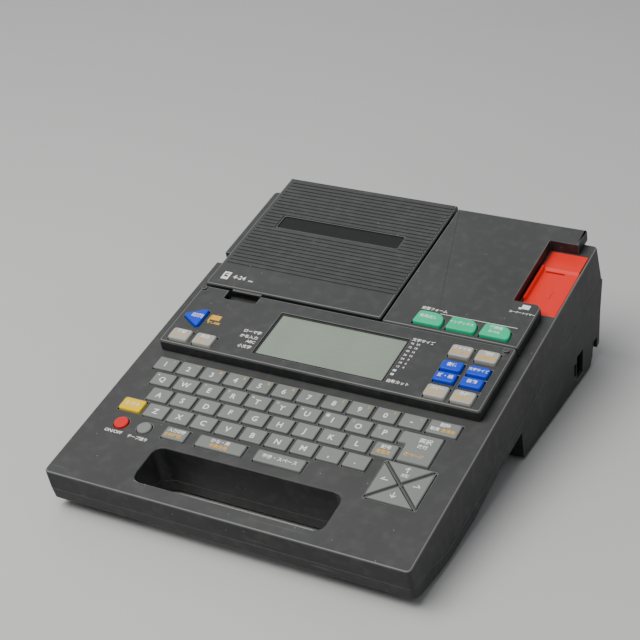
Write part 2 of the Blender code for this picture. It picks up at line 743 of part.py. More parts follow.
def add_drive(deck):
    pinion_phase = 0.0
    idler_phase = meshed_phase(PINION_AXIS, PINION_TEETH, pinion_phase, IDLER_AXIS, IDLER_TEETH)
    platen_phase = meshed_phase(IDLER_AXIS, IDLER_TEETH, idler_phase, PLATEN_AXIS, PLATEN_TEETH)
    spindle_phase = meshed_phase(IDLER_AXIS, IDLER_TEETH, idler_phase, SPINDLE_AXIS, SPINDLE_TEETH)

    gear = slab(gear_outline(PINION_TEETH, pinion_phase), GEAR_BOTTOM, GEAR_TOP)
    motor_at = (across(PINION_AXIS[0]), PINION_AXIS[1], 0.0)
    pinion = place("motor_pinion", gear, "white_plastic", deck, motor_at)
    shaft = carve(pinion, "motor_shaft", slab(circle(1.2 * MM, 10), -49.0 * MM, -42.0 * MM), "UNION")
    shaft.location = pinion.location

    gear = slab(gear_outline(IDLER_TEETH, idler_phase), GEAR_BOTTOM, GEAR_TOP)
    at = (across(IDLER_AXIS[0]), IDLER_AXIS[1], 0.0)
    idler = place("idler_gear", gear, "white_plastic", deck, at)
    bore = carve(idler, "idler_bore", slab(circle(1.95 * MM, 12), 2 * GEAR_BOTTOM, GEAR_TOP / 2))
    bore.location = idler.location

    gear = slab(gear_outline(PLATEN_TEETH, platen_phase), GEAR_BOTTOM, GEAR_TOP)
    at = (across(PLATEN_AXIS[0]), PLATEN_AXIS[1], 0.0)
    platen = place("platen_roller", gear, "rubber", deck, at)
    roller = [
        (circle(1.6 * MM, 12), -42.0 * MM),
        (circle(1.6 * MM, 12), -34.5 * MM),
        (circle(PLATEN_RADIUS, 12), -34.5 * MM),
        (circle(PLATEN_RADIUS, 12), -6.5 * MM),
    ]
    carve(platen, "platen_cover", stack(roller), "UNION").location = platen.location

    gear = slab(gear_outline(SPINDLE_TEETH, spindle_phase), GEAR_BOTTOM, GEAR_TOP)
    at = (across(SPINDLE_AXIS[0]), SPINDLE_AXIS[1], 0.0)
    spindle = place("ribbon_spindle", gear, "white_plastic", deck, at)
    post = slab(circle(1.6 * MM, 8), -42.0 * MM, -9.0 * MM)
    carve(spindle, "spindle_post", post, "UNION").location = spindle.location

    body = [
        (circle(11.0 * MM, 20), -55.6 * MM),
        (circle(11.0 * MM, 20), -46.4 * MM),
        (circle(3.0 * MM, 20), -46.4 * MM),
        (circle(3.0 * MM, 20), -45.4 * MM),
    ]
    motor = place("drive_motor", stack(body), "steel", deck, motor_at, smooth=True)
    seat = slab(circle(1.7 * MM, 10), -52.0 * MM, -44.0 * MM)
    carve(motor, "motor_bearing", seat).location = motor.location


def add_cartridge(deck):
    """The tape cartridge stands clear of the head and the platen, round the ribbon spindle."""
    outline = [
        (across(33.0 * MM), 172.0 * MM),
        (across(117.0 * MM), 172.0 * MM),
        (across(117.0 * MM), 246.0 * MM),
        (across(20.0 * MM), 246.0 * MM),
        (across(20.0 * MM), 206.0 * MM),
        (across(33.0 * MM), 206.0 * MM),
    ]
    cartridge = place("tape_cartridge", slab(outline, -35.6 * MM, -4.6 * MM), "cartridge", deck)
    centre = (across(SPINDLE_AXIS[0]), SPINDLE_AXIS[1])
    carve(cartridge, "ribbon_core", slab(circle(3.0 * MM, 12, centre), -40.0 * MM, -7.0 * MM))


def add_print_head(deck):
    """A heat-sink block whose front face presses the tape against the platen."""
    box = on_deck((19.0 * MM, 178.0 * MM, 29.0 * MM, 190.6 * MM))
    head = place("print_head", slab(rectangle(box), -36.0 * MM, -6.0 * MM), "steel", deck)
    fins = []
    for k in range(3):
        z = (-30.0 + 8.0 * k) * MM
        slot = (box[0] - WALL, box[1] - WALL, box[2] + WALL, box[1] + 5.0 * MM)
        fins.append(slab(rectangle(slot), z, z + 4.0 * MM))
    carve(head, "head_fins", joined(fins))


def add_cutter(deck):
    """A guillotine blade beside the tape slot; its cutting edge faces the front."""
    y0, y1 = 198.0 * MM, 212.0 * MM
    z0, z1 = -34.0 * MM, -5.0 * MM
    x0, x1 = across(6.6 * MM), across(8.2 * MM)
    outline = [(x0, y0), (x1, y0 + 2.0 * MM), (x1, y1), (x0, y1)]
    place("cutter_blade", slab(outline, z0, z1), "steel", deck)


def add_trimmer(deck):
    """Red tray that guides a label's end to the corner cutter below it."""
    box = on_deck(grown(TRIMMER, -GAP))
    x0, y0, x1, y1 = box
    ridge = y0 + 0.72 * (y1 - y0)
    profile = [(y0, -2.0 * MM), (y1, -2.0 * MM), (y1, 0.2 * MM), (ridge, 0.6 * MM)]
    profile += [(ridge - 1.5 * MM, -0.6 * MM), (y0, -0.6 * MM)]
    tray = place("trimmer_tray", prism(profile, x0, x1), "red", deck)
    lip = (x0, y0 + 9.0 * MM, x0 + 1.4 * MM, ridge)
    carve(tray, "tray_lip", slab(rectangle(lip), -1.0 * MM, 2.2 * MM), "UNION")
    slit = (x0 + 3.0 * MM, ridge - 2.9 * MM, x1 - 8.0 * MM, ridge - 1.9 * MM)
    carve(tray, "tray_slit", slab(rectangle(slit), -2 * WALL, WALL))
    blade = on_deck((195.0 * MM, 221.0 * MM, 204.0 * MM, 233.0 * MM))
    place("trimmer_blade", slab(rectangle(blade), -18.0 * MM, -6.0 * MM), "steel", deck)


# ---------------------------------------------------------------- level pieces


BATTERY_DOOR = (24.0 * MM, 171.0 * MM, 91.0 * MM, 249.0 * MM)
BATTERY_DOOR_TOP = BOX_FLOOR + 2.0 * MM
CELL_RADIUS = 7.2 * MM
CELL_PITCH = 14.2 * MM
CELL_LENGTH = 50.0 * MM
JACK_MIDDLE = (230.6 * MM, 13.2 * MM)
JACK_SIZE = (9.6 * MM, 15.4 * MM)
JACK_DEPTH = 3.6 * MM


def jack_box(clearance, x0, x1):
    y, z = JACK_MIDDLE
    half_y = JACK_SIZE[0] / 2 + clearance
    half_z = JACK_SIZE[1] / 2 + clearance
    profile = [
        (y - half_y, z - half_z),
        (y + half_y, z - half_z),
        (y + half_y, z + half_z),
        (y - half_y, z + half_z),
    ]
    return prism(profile, x0, x1)


def cell_bank():
    """Two layers of four round cells, as one scalloped block."""
    low = BATTERY_DOOR_TOP + 1.2 * MM + CELL_RADIUS
    high = low + CELL_PITCH
    first = (BATTERY_DOOR[1] + BATTERY_DOOR[3]) / 2 - 1.5 * CELL_PITCH
    points = []
    for k in range(4):
        for angle in range(210, 331, 30):
            points.append(round_point(first + k * CELL_PITCH, low, angle))
    for k in reversed(range(4)):
        for angle in range(30, 151, 30):
            points.append(round_point(first + k * CELL_PITCH, high, angle))
    middle = (BATTERY_DOOR[0] + BATTERY_DOOR[2]) / 2
    return prism(points, middle - CELL_LENGTH / 2, middle + CELL_LENGTH / 2)


def round_point(y, z, angle):
    turn = math.radians(angle)
    return (y + CELL_RADIUS * math.cos(turn), z + CELL_RADIUS * math.sin(turn))


def add_level_pieces(case_frame):
    door = slab(rectangle(BATTERY_DOOR), BOX_FLOOR, BATTERY_DOOR_TOP)
    place("battery_cover", door, "charcoal", case_frame)
    place("battery_cells", cell_bank(), "white_plastic", case_frame)
    half = CASE_WIDTH / 2
    jack = place("dc_jack", jack_box(0.0, half - 15.0 * MM, half - JACK_DEPTH), "smoke", case_frame)
    bore = prism(circle(3.4 * MM, 12, JACK_MIDDLE), half - 11.0 * MM, half)
    carve(jack, "jack_bore", bore)
    feet = {
        "foot_front_left": (-92.0 * MM, 45.0 * MM, BELLY[2][1]),
        "foot_front_right": (92.0 * MM, 45.0 * MM, BELLY[2][1]),
        "foot_rear_left": (-99.0 * MM, 237.0 * MM, BOX_FLOOR),
        "foot_rear_right": (99.0 * MM, 237.0 * MM, BOX_FLOOR),
    }
    for name, (x, y, underside) in feet.items():
        wide = circle(4.2 * MM, 14)
        narrow = circle(3.6 * MM, 14)
        rings = [(narrow, 0.0), (wide, 0.6 * MM), (wide, underside - GAP)]
        place(name, stack(rings), "rubber", case_frame, (x, y, 0.0), smooth=True)


# ---------------------------------------------------------------- assembly


def add_frames():
    """The case frame is centred on the machine's footprint; the deck frame leans back on it."""
    rearmost = deck_to_case(DECK_LENGTH + REAR_BULGE, -SIDE_DEPTH)[0]
    case_frame = bpy.data.objects.new("case_frame", None)
    case_frame.location = (0.0, -rearmost / 2, 0.0)
    deck = bpy.data.objects.new("deck_frame", None)
    deck.parent = case_frame
    deck.location = (0.0, 0.0, FRONT_HEIGHT)
    deck.rotation_euler = (DECK_TILT, 0.0, 0.0)
    for frame in (case_frame, deck):
        bpy.context.scene.collection.objects.link(frame)
    return case_frame, deck


def main():
    for old in list(bpy.data.objects):
        bpy.data.objects.remove(old, do_unlink=True)
    case_frame, deck = add_frames()
    add_upper_case(deck)
    add_lower_case(case_frame, deck)
    add_display_panel(deck)
    add_mechanism_cover(deck)
    add_tape_lid(deck)
    add_keys(DECK_KEYS, -WALL, KEY_RISE, deck)
    add_key_rows(deck)
    raised_seat = RAISED_HEIGHT - RAISED_WALL
    add_keys(PANEL_KEYS + FORM_KEYS, raised_seat, RAISED_HEIGHT + PANEL_KEY_RISE, deck)
    add_boards(deck)
    add_bay(deck)
    add_drive(deck)
    add_cartridge(deck)
    add_print_head(deck)
    add_cutter(deck)
    add_trimmer(deck)
    add_level_pieces(case_frame)
    bpy.context.view_layer.update()


main()
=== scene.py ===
import json
import math

import bmesh
import bpy
from mathutils import Euler, Matrix, Vector


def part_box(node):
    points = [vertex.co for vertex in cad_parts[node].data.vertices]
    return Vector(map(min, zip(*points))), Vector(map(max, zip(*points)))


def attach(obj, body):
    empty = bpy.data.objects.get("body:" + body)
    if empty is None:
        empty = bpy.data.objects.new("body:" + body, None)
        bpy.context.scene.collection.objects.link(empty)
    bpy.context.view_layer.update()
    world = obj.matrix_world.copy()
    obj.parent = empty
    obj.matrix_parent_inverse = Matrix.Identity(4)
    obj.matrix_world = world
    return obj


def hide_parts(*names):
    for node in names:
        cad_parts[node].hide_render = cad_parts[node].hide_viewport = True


# Desktop label maker: casings, keys, lid, windows, printed marks, small parts and the stage.
# Lengths are metres. Deck places are millimetres: u from the left side of the case, v up the
# sloping deck from its front edge and w at right angles to the deck.

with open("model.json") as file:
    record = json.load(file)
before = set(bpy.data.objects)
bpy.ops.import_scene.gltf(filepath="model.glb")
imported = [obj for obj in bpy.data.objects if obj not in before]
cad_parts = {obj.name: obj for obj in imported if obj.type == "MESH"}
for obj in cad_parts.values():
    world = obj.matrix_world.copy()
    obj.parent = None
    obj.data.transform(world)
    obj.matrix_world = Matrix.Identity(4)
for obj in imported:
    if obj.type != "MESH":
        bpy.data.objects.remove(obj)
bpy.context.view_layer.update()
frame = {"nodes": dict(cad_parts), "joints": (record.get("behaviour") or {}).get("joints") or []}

bl_info = {
    "name": "Desktop label maker",
    "version": (1, 0, 0),
    "blender": (4, 5, 0),
    "location": "View3D > Sidebar > Label maker",
    "description": "Builds the visible pieces of a desktop label maker around its packed frame",
    "category": "Object",
}

MM = 0.001
KEY_AXIS = next(j["axis"] for j in frame["joints"] if j["name"] == "key_space_press")
TILT = math.asin(KEY_AXIS[1])
DECK_ORIGIN = Vector((0.0, -0.13336, 0.0268))
HALF_WIDTH = 107.4
DECK = Matrix.Translation(DECK_ORIGIN) @ Matrix.Rotation(TILT, 4, "X")
DECK_NORMAL = (DECK.to_3x3() @ Vector((0.0, 0.0, 1.0))).normalized()

KEY_TOP = 1.1
PANEL_TOP = 7.3
PANEL_KEY_TOP = 9.1
LID_TOP = 7.3
INK_LIFT = 0.03
MERGE_DISTANCE = 1e-6
LETTER_MERGE = 1e-7
FLAT_ANGLE = math.radians(0.6)


# ---------------------------------------------------------------- sizes and colours


def length(name, description, default):
    return bpy.props.FloatProperty(
        name=name, description=description, default=default, min=0.0, unit="LENGTH",
        precision=5,
    )


def tint(name, description, default):
    return bpy.props.FloatVectorProperty(
        name=name, description=description, default=default, size=3, min=0.0, max=1.0,
        subtype="COLOR",
    )


class LABELMAKER_PG_sizes(bpy.types.PropertyGroup):
    """Sizes of the finished edges, the keys and the lid's ribs."""

    edge: length("Edge softness", "Width of the rounded edges of the casings", 0.00035)
    grip_edge: length("Handle lip", "Rounding of the carrying handle's rim", 0.0009)
    key_corner: length("Key corner", "Radius of a key's upright corners", 0.0008)
    key_edge: length("Key edge", "Width of the bevel round a key's top", 0.00055)
    rib_pitch: length("Rib pitch", "Distance from one lid rib to the next", 0.00322)
    rib_width: length("Rib width", "Width of a lid rib at its foot", 0.0023)
    rib_height: length("Rib height", "Height of a lid rib", 0.00045)
    grain: length("Grain size", "Size of the moulded grain", 0.0006)


class LABELMAKER_PG_colours(bpy.types.PropertyGroup):
    """Colours of the plastics, the keys and the prints."""

    casing: tint("Casing", "Charcoal casing plastic", (0.021, 0.0225, 0.0225))
    # Lighter colour of the bevelled casing edges: rubbed wear and a painted highlight along the
    # edges.
    casing_edge_wear_and_highlight: tint("Casing edge", "Rubbed edges of the casing", (0.070, 0.074, 0.072))
    grey_key: tint("Grey keys", "Keyboard caps", (0.235, 0.245, 0.235))
    light_key: tint("Light keys", "Light grey panel keys", (0.47, 0.455, 0.41))
    blue_key: tint("Blue keys", "Format keys and print key", (0.010, 0.065, 0.76))
    green_key: tint("Green keys", "Form keys", (0.018, 0.62, 0.30))
    yellow_key: tint("Yellow key", "Shift key", (1.0, 0.66, 0.01))
    red_key: tint("Red key", "Power key", (0.85, 0.025, 0.025))
    tray: tint("Tray", "Trimmer tray", (0.98, 0.032, 0.020))
    ink_white: tint("White ink", "Main legends", (0.93, 0.94, 0.92))
    ink_orange: tint("Orange ink", "Second legends", (0.90, 0.50, 0.05))
    display: tint("Display", "Liquid crystal display", (0.285, 0.340, 0.275))
    window: tint("Lid window", "Smoked window of the lid", (0.016, 0.017, 0.017))


def sizes():
    """The sizes set in the panel."""
    return bpy.context.scene.label_maker_sizes


def colours():
    """The colours set in the panel."""
    return bpy.context.scene.label_maker_colours


# ---------------------------------------------------------------- modelling helpers


def deck_place(u, v, w, turn=0.0):
    """Where a piece modelled round the origin goes on the deck."""
    spot = Matrix.Translation(((u - HALF_WIDTH) * MM, v * MM, w * MM))
    return DECK @ spot @ Matrix.Rotation(turn, 4, "Z")


def deselect():
    if bpy.context.object and bpy.context.object.mode != "OBJECT":
        bpy.ops.object.mode_set(mode="OBJECT")
    bpy.ops.object.select_all(action="DESELECT")


def only(piece):
    """Object mode, with this piece alone selected and active."""
    deselect()
    piece.select_set(True)
    bpy.context.view_layer.objects.active = piece
    return piece


def choose(piece, kind, test):
    """Edit mode, with only the edges or faces that pass the test selected."""
    only(piece)
    bpy.ops.object.mode_set(mode="EDIT")
    bpy.ops.mesh.select_mode(type=kind)
    bpy.ops.mesh.select_all(action="DESELECT")
    mesh = bmesh.from_edit_mesh(piece.data)
    for item in mesh.edges if kind == "EDGE" else mesh.faces:
        if test(item):
            item.select_set(True)
    bmesh.update_edit_mesh(piece.data)


def settle(piece, matrix):
    """Puts the piece in its place and leaves that place in its mesh."""
    only(piece)
    piece.matrix_world = matrix @ piece.matrix_world
    bpy.ops.object.transform_apply(location=True, rotation=True, scale=True)
    return piece


def block(name, size, middle=(0.0, 0.0, 0.0)):
    """A box in millimetres, ready to be shaped."""
    deselect()
    bpy.ops.mesh.primitive_cube_add(
        size=1.0, location=[c * MM for c in middle], scale=[s * MM for s in size]
    )
    piece = bpy.context.object
    piece.name = name
    bpy.ops.object.transform_apply(location=True, rotation=True, scale=True)
    return piece


def disc(name, radius, depth, middle=(0.0, 0.0, 0.0), sides=32):
    """A round plate in millimetres, ready to be shaped."""
    deselect()
    bpy.ops.mesh.primitive_cylinder_add(
        vertices=sides, radius=radius * MM, depth=depth * MM, location=[c * MM for c in middle]
    )
    piece = bpy.context.object
    piece.name = name
    bpy.ops.object.transform_apply(location=True, rotation=True, scale=True)
    return piece


def round_edges(piece, test, width, steps):
    """Bevels the edges that pass the test; width in metres."""
    choose(piece, "EDGE", test)
    bpy.ops.mesh.bevel(offset=width, segments=steps, affect="EDGES", clamp_overlap=True)
    bpy.ops.object.mode_set(mode="OBJECT")


def along(edge, direction):
    """How far the edge runs with the direction, from 0 to 1."""
    run = edge.verts[1].co - edge.verts[0].co
    return abs(run.normalized().dot(direction)) if run.length > 0 else 0.0


def turned(edge):
    """Angle between the two faces at the edge, in degrees."""
    return math.degrees(edge.calc_face_angle(0.0))


def copy_of(node, name):
    """A merged copy of a frame node's mesh, to be refined and shown instead of it."""
    piece = bpy.data.objects.new(name, frame["nodes"][node].data.copy())
    bpy.context.scene.collection.objects.link(piece)
    piece.data.materials.clear()
    only(piece)
    bpy.ops.mesh.customdata_custom_splitnormals_clear()
    bpy.ops.object.mode_set(mode="EDIT")
    bpy.ops.mesh.select_all(action="SELECT")
    bpy.ops.mesh.remove_doubles(threshold=MERGE_DISTANCE)
    bpy.ops.mesh.dissolve_limited(angle_limit=FLAT_ANGLE)
    bpy.ops.mesh.select_all(action="SELECT")
    bpy.ops.mesh.vert_connect_concave()
    bpy.ops.object.mode_set(mode="OBJECT")
    return piece


def apply_modifier(piece, kind, name, **settings):
    """Adds a modifier with its settings and applies it."""
    only(piece)
    modifier = piece.modifiers.new(name, kind)
    for key, value in settings.items():
        setattr(modifier, key, value)
    bpy.ops.object.modifier_apply(modifier=modifier.name)


def smooth(piece, angle=42):
    """Smooth shading that keeps broad faces flat."""
    only(piece)
    bpy.ops.object.shade_smooth_by_angle(angle=math.radians(angle))
    apply_modifier(piece, "WEIGHTED_NORMAL", "even_shading", keep_sharp=True, weight=100)
    return piece


def soften(piece, width, angle=36, edge_slot=-1, steps=2):
    """Rounds every sharp edge a little; the new faces take the material slot given."""
    apply_modifier(
        piece, "BEVEL", "soft_edges", width=width, segments=steps, limit_method="ANGLE",
        angle_limit=math.radians(angle), use_clamp_overlap=False, material=edge_slot,
    )
    return smooth(piece)


def carve(piece, cutters):
    """Cuts the given pieces out of this one and deletes them."""
    for cutter in cutters:
        apply_modifier(
            piece, "BOOLEAN", "cut", object=cutter, operation="DIFFERENCE", solver="EXACT"
        )
        bpy.data.objects.remove(cutter, do_unlink=True)
    return piece


def join(piece, others):
    """Joins the others into the piece."""
    only(piece)
    for other in others:
        other.select_set(True)
    bpy.ops.object.join()
    return piece


def paint(piece, *finishes):
    """Gives the piece these materials, in this order."""
    piece.data.materials.clear()
    for finish in finishes:
        piece.data.materials.append(finish)
    return piece


def fit(piece, body, slot, *nodes):
    """Rides on its body and stands for the nodes named; the slot given is not used."""
    deselect()
    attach(piece, body)
    if nodes:
        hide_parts(*nodes)
    return piece


def duplicate(piece, name, matrix):
    """A copy with its own mesh, put in its place."""
    twin = bpy.data.objects.new(name, piece.data.copy())
    bpy.context.scene.collection.objects.link(twin)
    return settle(twin, matrix)


def printed(words, size, place, ink, align="CENTER", bold=0.06):
    """Thin raised lettering; size and boldness in millimetres, place as a matrix."""
    deselect()
    bpy.ops.object.text_add()
    text = bpy.context.object
    text.data.body = words
    text.data.size = size * MM
    text.data.align_x = align
    text.data.align_y = "CENTER"
    text.data.extrude = 0.5 * INK_LIFT * MM
    text.data.offset = bold * MM
    text.data.resolution_u = 2
    bpy.ops.object.convert(target="MESH")
    text = bpy.context.object
    bpy.ops.object.mode_set(mode="EDIT")
    bpy.ops.mesh.select_all(action="SELECT")
    bpy.ops.mesh.remove_doubles(threshold=LETTER_MERGE)
    bpy.ops.object.mode_set(mode="OBJECT")
    paint(text, ink)
    return settle(text, place)


def printed_bar(width, depth, place, ink):
    """A thin printed rectangle, in millimetres."""
    bar = block("bar", (width, depth, INK_LIFT))
    return settle(paint(bar, ink), place)


def print_sheet(name, marks, body="chassis"):
    """Joins the marks of one surface into one piece that rides on the body."""
    sheet = join(marks[0], marks[1:])
    sheet.name = name
    return fit(sheet, body, "key_grey")


# ---------------------------------------------------------------- shader node groups


def node(tree, kind, inputs=None, **settings):
    """A shader node, with its inputs set to values or wired from sockets."""
    made = tree.nodes.new("ShaderNode" + kind)
    for key, value in settings.items():
        setattr(made, key, value)
    for key, value in (inputs or {}).items():
        feed(tree, made.inputs[key], value)
    return made


def feed(tree, socket, value):
    """Wires the socket from another one, or sets its value."""
    if isinstance(value, bpy.types.NodeSocket):
        tree.links.new(value, socket)
    else:
        socket.default_value = value


def new_group(name, inputs, outputs):
    """An empty node group with its sockets: the tree and its two ends."""
    tree = bpy.data.node_groups.new(name, "ShaderNodeTree")
    for label, kind, value in inputs:
        socket = tree.interface.new_socket(
            label, in_out="INPUT", socket_type="NodeSocket" + kind
        )
        socket.default_value = value
    for label, kind in outputs:
        tree.interface.new_socket(label, in_out="OUTPUT", socket_type="NodeSocket" + kind)
    return tree, tree.nodes.new("NodeGroupInput"), tree.nodes.new("NodeGroupOutput")


def spot_on_piece(tree):
    """The place on the piece, in metres."""
    return node(tree, "TexCoord").outputs["Object"]


def stretched(tree, where, stretch, turn=0.0):
    """Places drawn out along one direction, for lines and scratches."""
    inputs = {"Vector": where, "Rotation": (0.0, 0.0, turn), "Scale": stretch}
    return node(tree, "Mapping", inputs).outputs["Vector"]


def noise(tree, where, scale, detail):
    inputs = {"Vector": where, "Scale": scale, "Detail": detail}
    return node(tree, "TexNoise", inputs).outputs["Fac"]


def mask(tree, value, low, high):
    """0 below low, 1 above high."""
    inputs = {"Value": value, "From Min": low, "From Max": high}
    return node(tree, "MapRange", inputs, clamp=True).outputs["Result"]


def combined(tree, first, second, operation="MULTIPLY"):
    return node(tree, "Math", {0: first, 1: second}, operation=operation).outputs[0]


def mixed(tree, factor, first, second):
    """A blend of two colours."""
    made = node(tree, "Mix", data_type="RGBA")
    for key, value in ((0, factor), (6, first), (7, second)):
        feed(tree, made.inputs[key], value)
    return made.outputs[2]


BLOTCH_SCALE = 22.0
BLOTCH_RANGE = (0.3, 0.7)
TONE_CHANGE = (0.95, 1.05)
ROUGHNESS_CHANGE = (0.86, 1.12)
# Turn, stretch and least blotch value of each set of scratches.
SCRATCH_SETS = (
    (0.42, (14.0, 640.0, 90.0), 0.56),
    (-0.95, (24.0, 900.0, 120.0), 0.53),
)
SCRATCH_RANGE = (0.70, 0.74)
SCRATCH_FADE = 0.08
SPECK_SCALE = 190.0
SPECK_EDGE = (0.085, 0.055)
SPECK_CHOICE = (0.80, 0.82)
VEIL_SCALE = 160.0
VEIL_RANGE = (0.48, 0.72)
VEIL_STRENGTH = 0.10
DUST_COLOUR = (0.36, 0.35, 0.33, 1.0)
# Upward faces are lightened towards a pale colour: partly dust, partly painted sheen standing in
# for the light on the tops.
DUST_AND_SHEEN_FACING = (0.25, 0.95)
DUST_AND_SHEEN_CHANGE = (0.85, 1.15)
DUST_AND_SHEEN_COLOUR = (0.42, 0.43, 0.41, 1.0)
PLAIN_GREY = (0.5, 0.5, 0.5, 1.0)


def blotched(tree, blotch, change):
    """A factor that wanders between the two values given."""
    inputs = {
        "Value": blotch,
        "From Min": BLOTCH_RANGE[0], "From Max": BLOTCH_RANGE[1],
        "To Min": change[0], "To Max": change[1],
    }
    return node(tree, "MapRange", inputs).outputs["Result"]


def scratch_mask(tree, where, blotch):
    """Fine scratches in two directions, gathered in patches."""
    marks = None
    for turn, stretch, share in SCRATCH_SETS:
        streak = noise(tree, stretched(tree, where, stretch, turn), 1.0, 1.0)
        lines = mask(tree, streak, *SCRATCH_RANGE)
        patches = mask(tree, blotch, share, share + SCRATCH_FADE)
        layer = combined(tree, lines, patches)
        marks = layer if marks is None else combined(tree, marks, layer, "MAXIMUM")
    return marks


def dust_mask(tree, where):
    """Scattered specks over a thin veil."""
    specks = node(tree, "TexVoronoi", {"Vector": where, "Scale": SPECK_SCALE, "Randomness": 1.0})
    chosen = node(tree, "SeparateColor", {"Color": specks.outputs["Color"]}).outputs["Red"]
    spots = mask(tree, specks.outputs["Distance"], *SPECK_EDGE)
    spots = combined(tree, spots, mask(tree, chosen, *SPECK_CHOICE))
    veil = mask(tree, noise(tree, where, VEIL_SCALE, 3.0), *VEIL_RANGE)
    return combined(tree, spots, combined(tree, veil, VEIL_STRENGTH), "MAXIMUM")


def handling_and_sheen_group():
    """Uneven tone, fine scratches, dust, and a pale film on upward faces that is partly dust and
    partly painted sheen, on handled plastic.
    """
    tree, given, out = new_group(
        "Handling marks and painted sheen",
        [
            ("Colour", "Color", PLAIN_GREY),
            ("Rubbed Colour", "Color", PLAIN_GREY),
            ("Roughness", "Float", 0.5),
            ("Scratches", "Float", 0.5),
            ("Dust", "Float", 0.5),
            ("Dust And Sheen", "Float", 0.0),
        ],
        [("Colour", "Color"), ("Roughness", "Float")],
    )
    where = spot_on_piece(tree)
    blotch = noise(tree, where, BLOTCH_SCALE, 4.0)
    marks = combined(tree, scratch_mask(tree, where, blotch), given.outputs["Scratches"])
    dust = combined(tree, dust_mask(tree, where), given.outputs["Dust"])
    tone = node(tree, "HueSaturation", {
        "Color": given.outputs["Colour"],
        "Value": blotched(tree, blotch, TONE_CHANGE),
    }).outputs["Color"]
    normal = node(tree, "TexCoord").outputs["Normal"]
    upward = node(tree, "SeparateXYZ", {"Vector": normal}).outputs["Z"]
    # Painted sheen and dust: faces that look up are lightened.
    dust_and_sheen = combined(tree, mask(tree, upward, *DUST_AND_SHEEN_FACING), given.outputs["Dust And Sheen"])
    dust_and_sheen = combined(tree, dust_and_sheen, blotched(tree, blotch, DUST_AND_SHEEN_CHANGE))
    dust_and_sheen_added = mixed(tree, dust_and_sheen, tone, DUST_AND_SHEEN_COLOUR)
    worn = mixed(tree, marks, dust_and_sheen_added, given.outputs["Rubbed Colour"])
    dusty = mixed(tree, dust, worn, DUST_COLOUR)
    unevenness = blotched(tree, blotch, ROUGHNESS_CHANGE)
    roughness = combined(tree, given.outputs["Roughness"], unevenness)
    tree.links.new(dusty, out.inputs["Colour"])
    tree.links.new(roughness, out.inputs["Roughness"])
    return tree


COARSE_GRAIN = 0.3


def grain_group():
    """Height of a spark-eroded mould surface."""
    tree, given, out = new_group(
        "Moulded grain",
        [("Grain Scale", "Float", 1600.0), ("Coarse Share", "Float", 0.35)],
        [("Height", "Float")],
    )
    where = spot_on_piece(tree)
    scale = given.outputs["Grain Scale"]
    fine = noise(tree, where, scale, 2.0)
    coarse = noise(tree, where, combined(tree, scale, COARSE_GRAIN), 1.0)
    coarse = combined(tree, coarse, given.outputs["Coarse Share"])
    tree.links.new(combined(tree, fine, coarse, "ADD"), out.inputs["Height"])
    return tree


GROUND_LINE_STRETCH = (60.0, 2600.0, 2600.0)
GROUND_LINE_CHANGE = (0.75, 1.3)


def brushed_group():
    """Fine parallel lines of a ground metal surface."""
    tree, given, out = new_group(
        "Ground lines",
        [("Roughness", "Float", 0.3)],
        [("Roughness", "Float"), ("Height", "Float")],
    )
    streak = noise(tree, stretched(tree, spot_on_piece(tree), GROUND_LINE_STRETCH), 1.0, 2.0)
    change = node(tree, "MapRange", {
        "Value": streak, "To Min": GROUND_LINE_CHANGE[0], "To Max": GROUND_LINE_CHANGE[1],
    }).outputs["Result"]
    roughness = combined(tree, given.outputs["Roughness"], change)
    tree.links.new(roughness, out.inputs["Roughness"])
    tree.links.new(streak, out.inputs["Height"])
    return tree


GROUP_MAKERS = {
    "Handling marks and painted sheen": handling_and_sheen_group,
    "Moulded grain": grain_group,
    "Ground lines": brushed_group,
}


def placed_group(tree, name, inputs):
    """The named node group, built the first time that it is used."""
    made = tree.nodes.new("ShaderNodeGroup")
    made.node_tree = bpy.data.node_groups.get(name) or GROUP_MAKERS[name]()
    for key, value in inputs.items():
        made.inputs[key].default_value = value
    return made.outputs


# ---------------------------------------------------------------- materials


def blank(name):
    """A new node material: the material, its tree and its shader."""
    made = bpy.data.materials.new(name)
    made.use_nodes = True
    return made, made.node_tree, made.node_tree.nodes["Principled BSDF"]


def rgba(colour, gain=1.0):
    return (colour[0] * gain, colour[1] * gain, colour[2] * gain, 1.0)


def bump(tree, shader, height, strength, distance):
    made = node(tree, "Bump", {"Height": height, "Strength": strength, "Distance": distance})
    tree.links.new(made.outputs["Normal"], shader.inputs["Normal"])


GRAIN_STRENGTH = 0.55
RUBBED_LIFT = 0.02


def plastic(
    name, colour, roughness, *, rubbed=1.8, scratches=0.4, dust=0.5, grain=0.00002, dust_and_sheen=0.0,
    gloss=0.5
):
    """Moulded plastic with grain, uneven tone, scratches, dust and a pale top film of dust and
    painted sheen; grain in metres.
    """
    made, tree, shader = blank(name)
    marks = placed_group(tree, "Handling marks and painted sheen", {
        "Colour": rgba(colour),
        "Rubbed Colour": [min(1.0, c * rubbed + RUBBED_LIFT) for c in colour[:3]] + [1.0],
        "Roughness": roughness,
        "Scratches": scratches,
        "Dust": dust,
        "Dust And Sheen": dust_and_sheen,
    })
    tree.links.new(marks["Colour"], shader.inputs["Base Color"])
    tree.links.new(marks["Roughness"], shader.inputs["Roughness"])
    height = placed_group(tree, "Moulded grain", {"Grain Scale": 1.0 / sizes().grain})["Height"]
    bump(tree, shader, height, GRAIN_STRENGTH, grain)
    shader.inputs["Specular IOR Level"].default_value = gloss
    return made


GROUND_LINE_STRENGTH = 0.3
GROUND_LINE_DEPTH = 0.00001


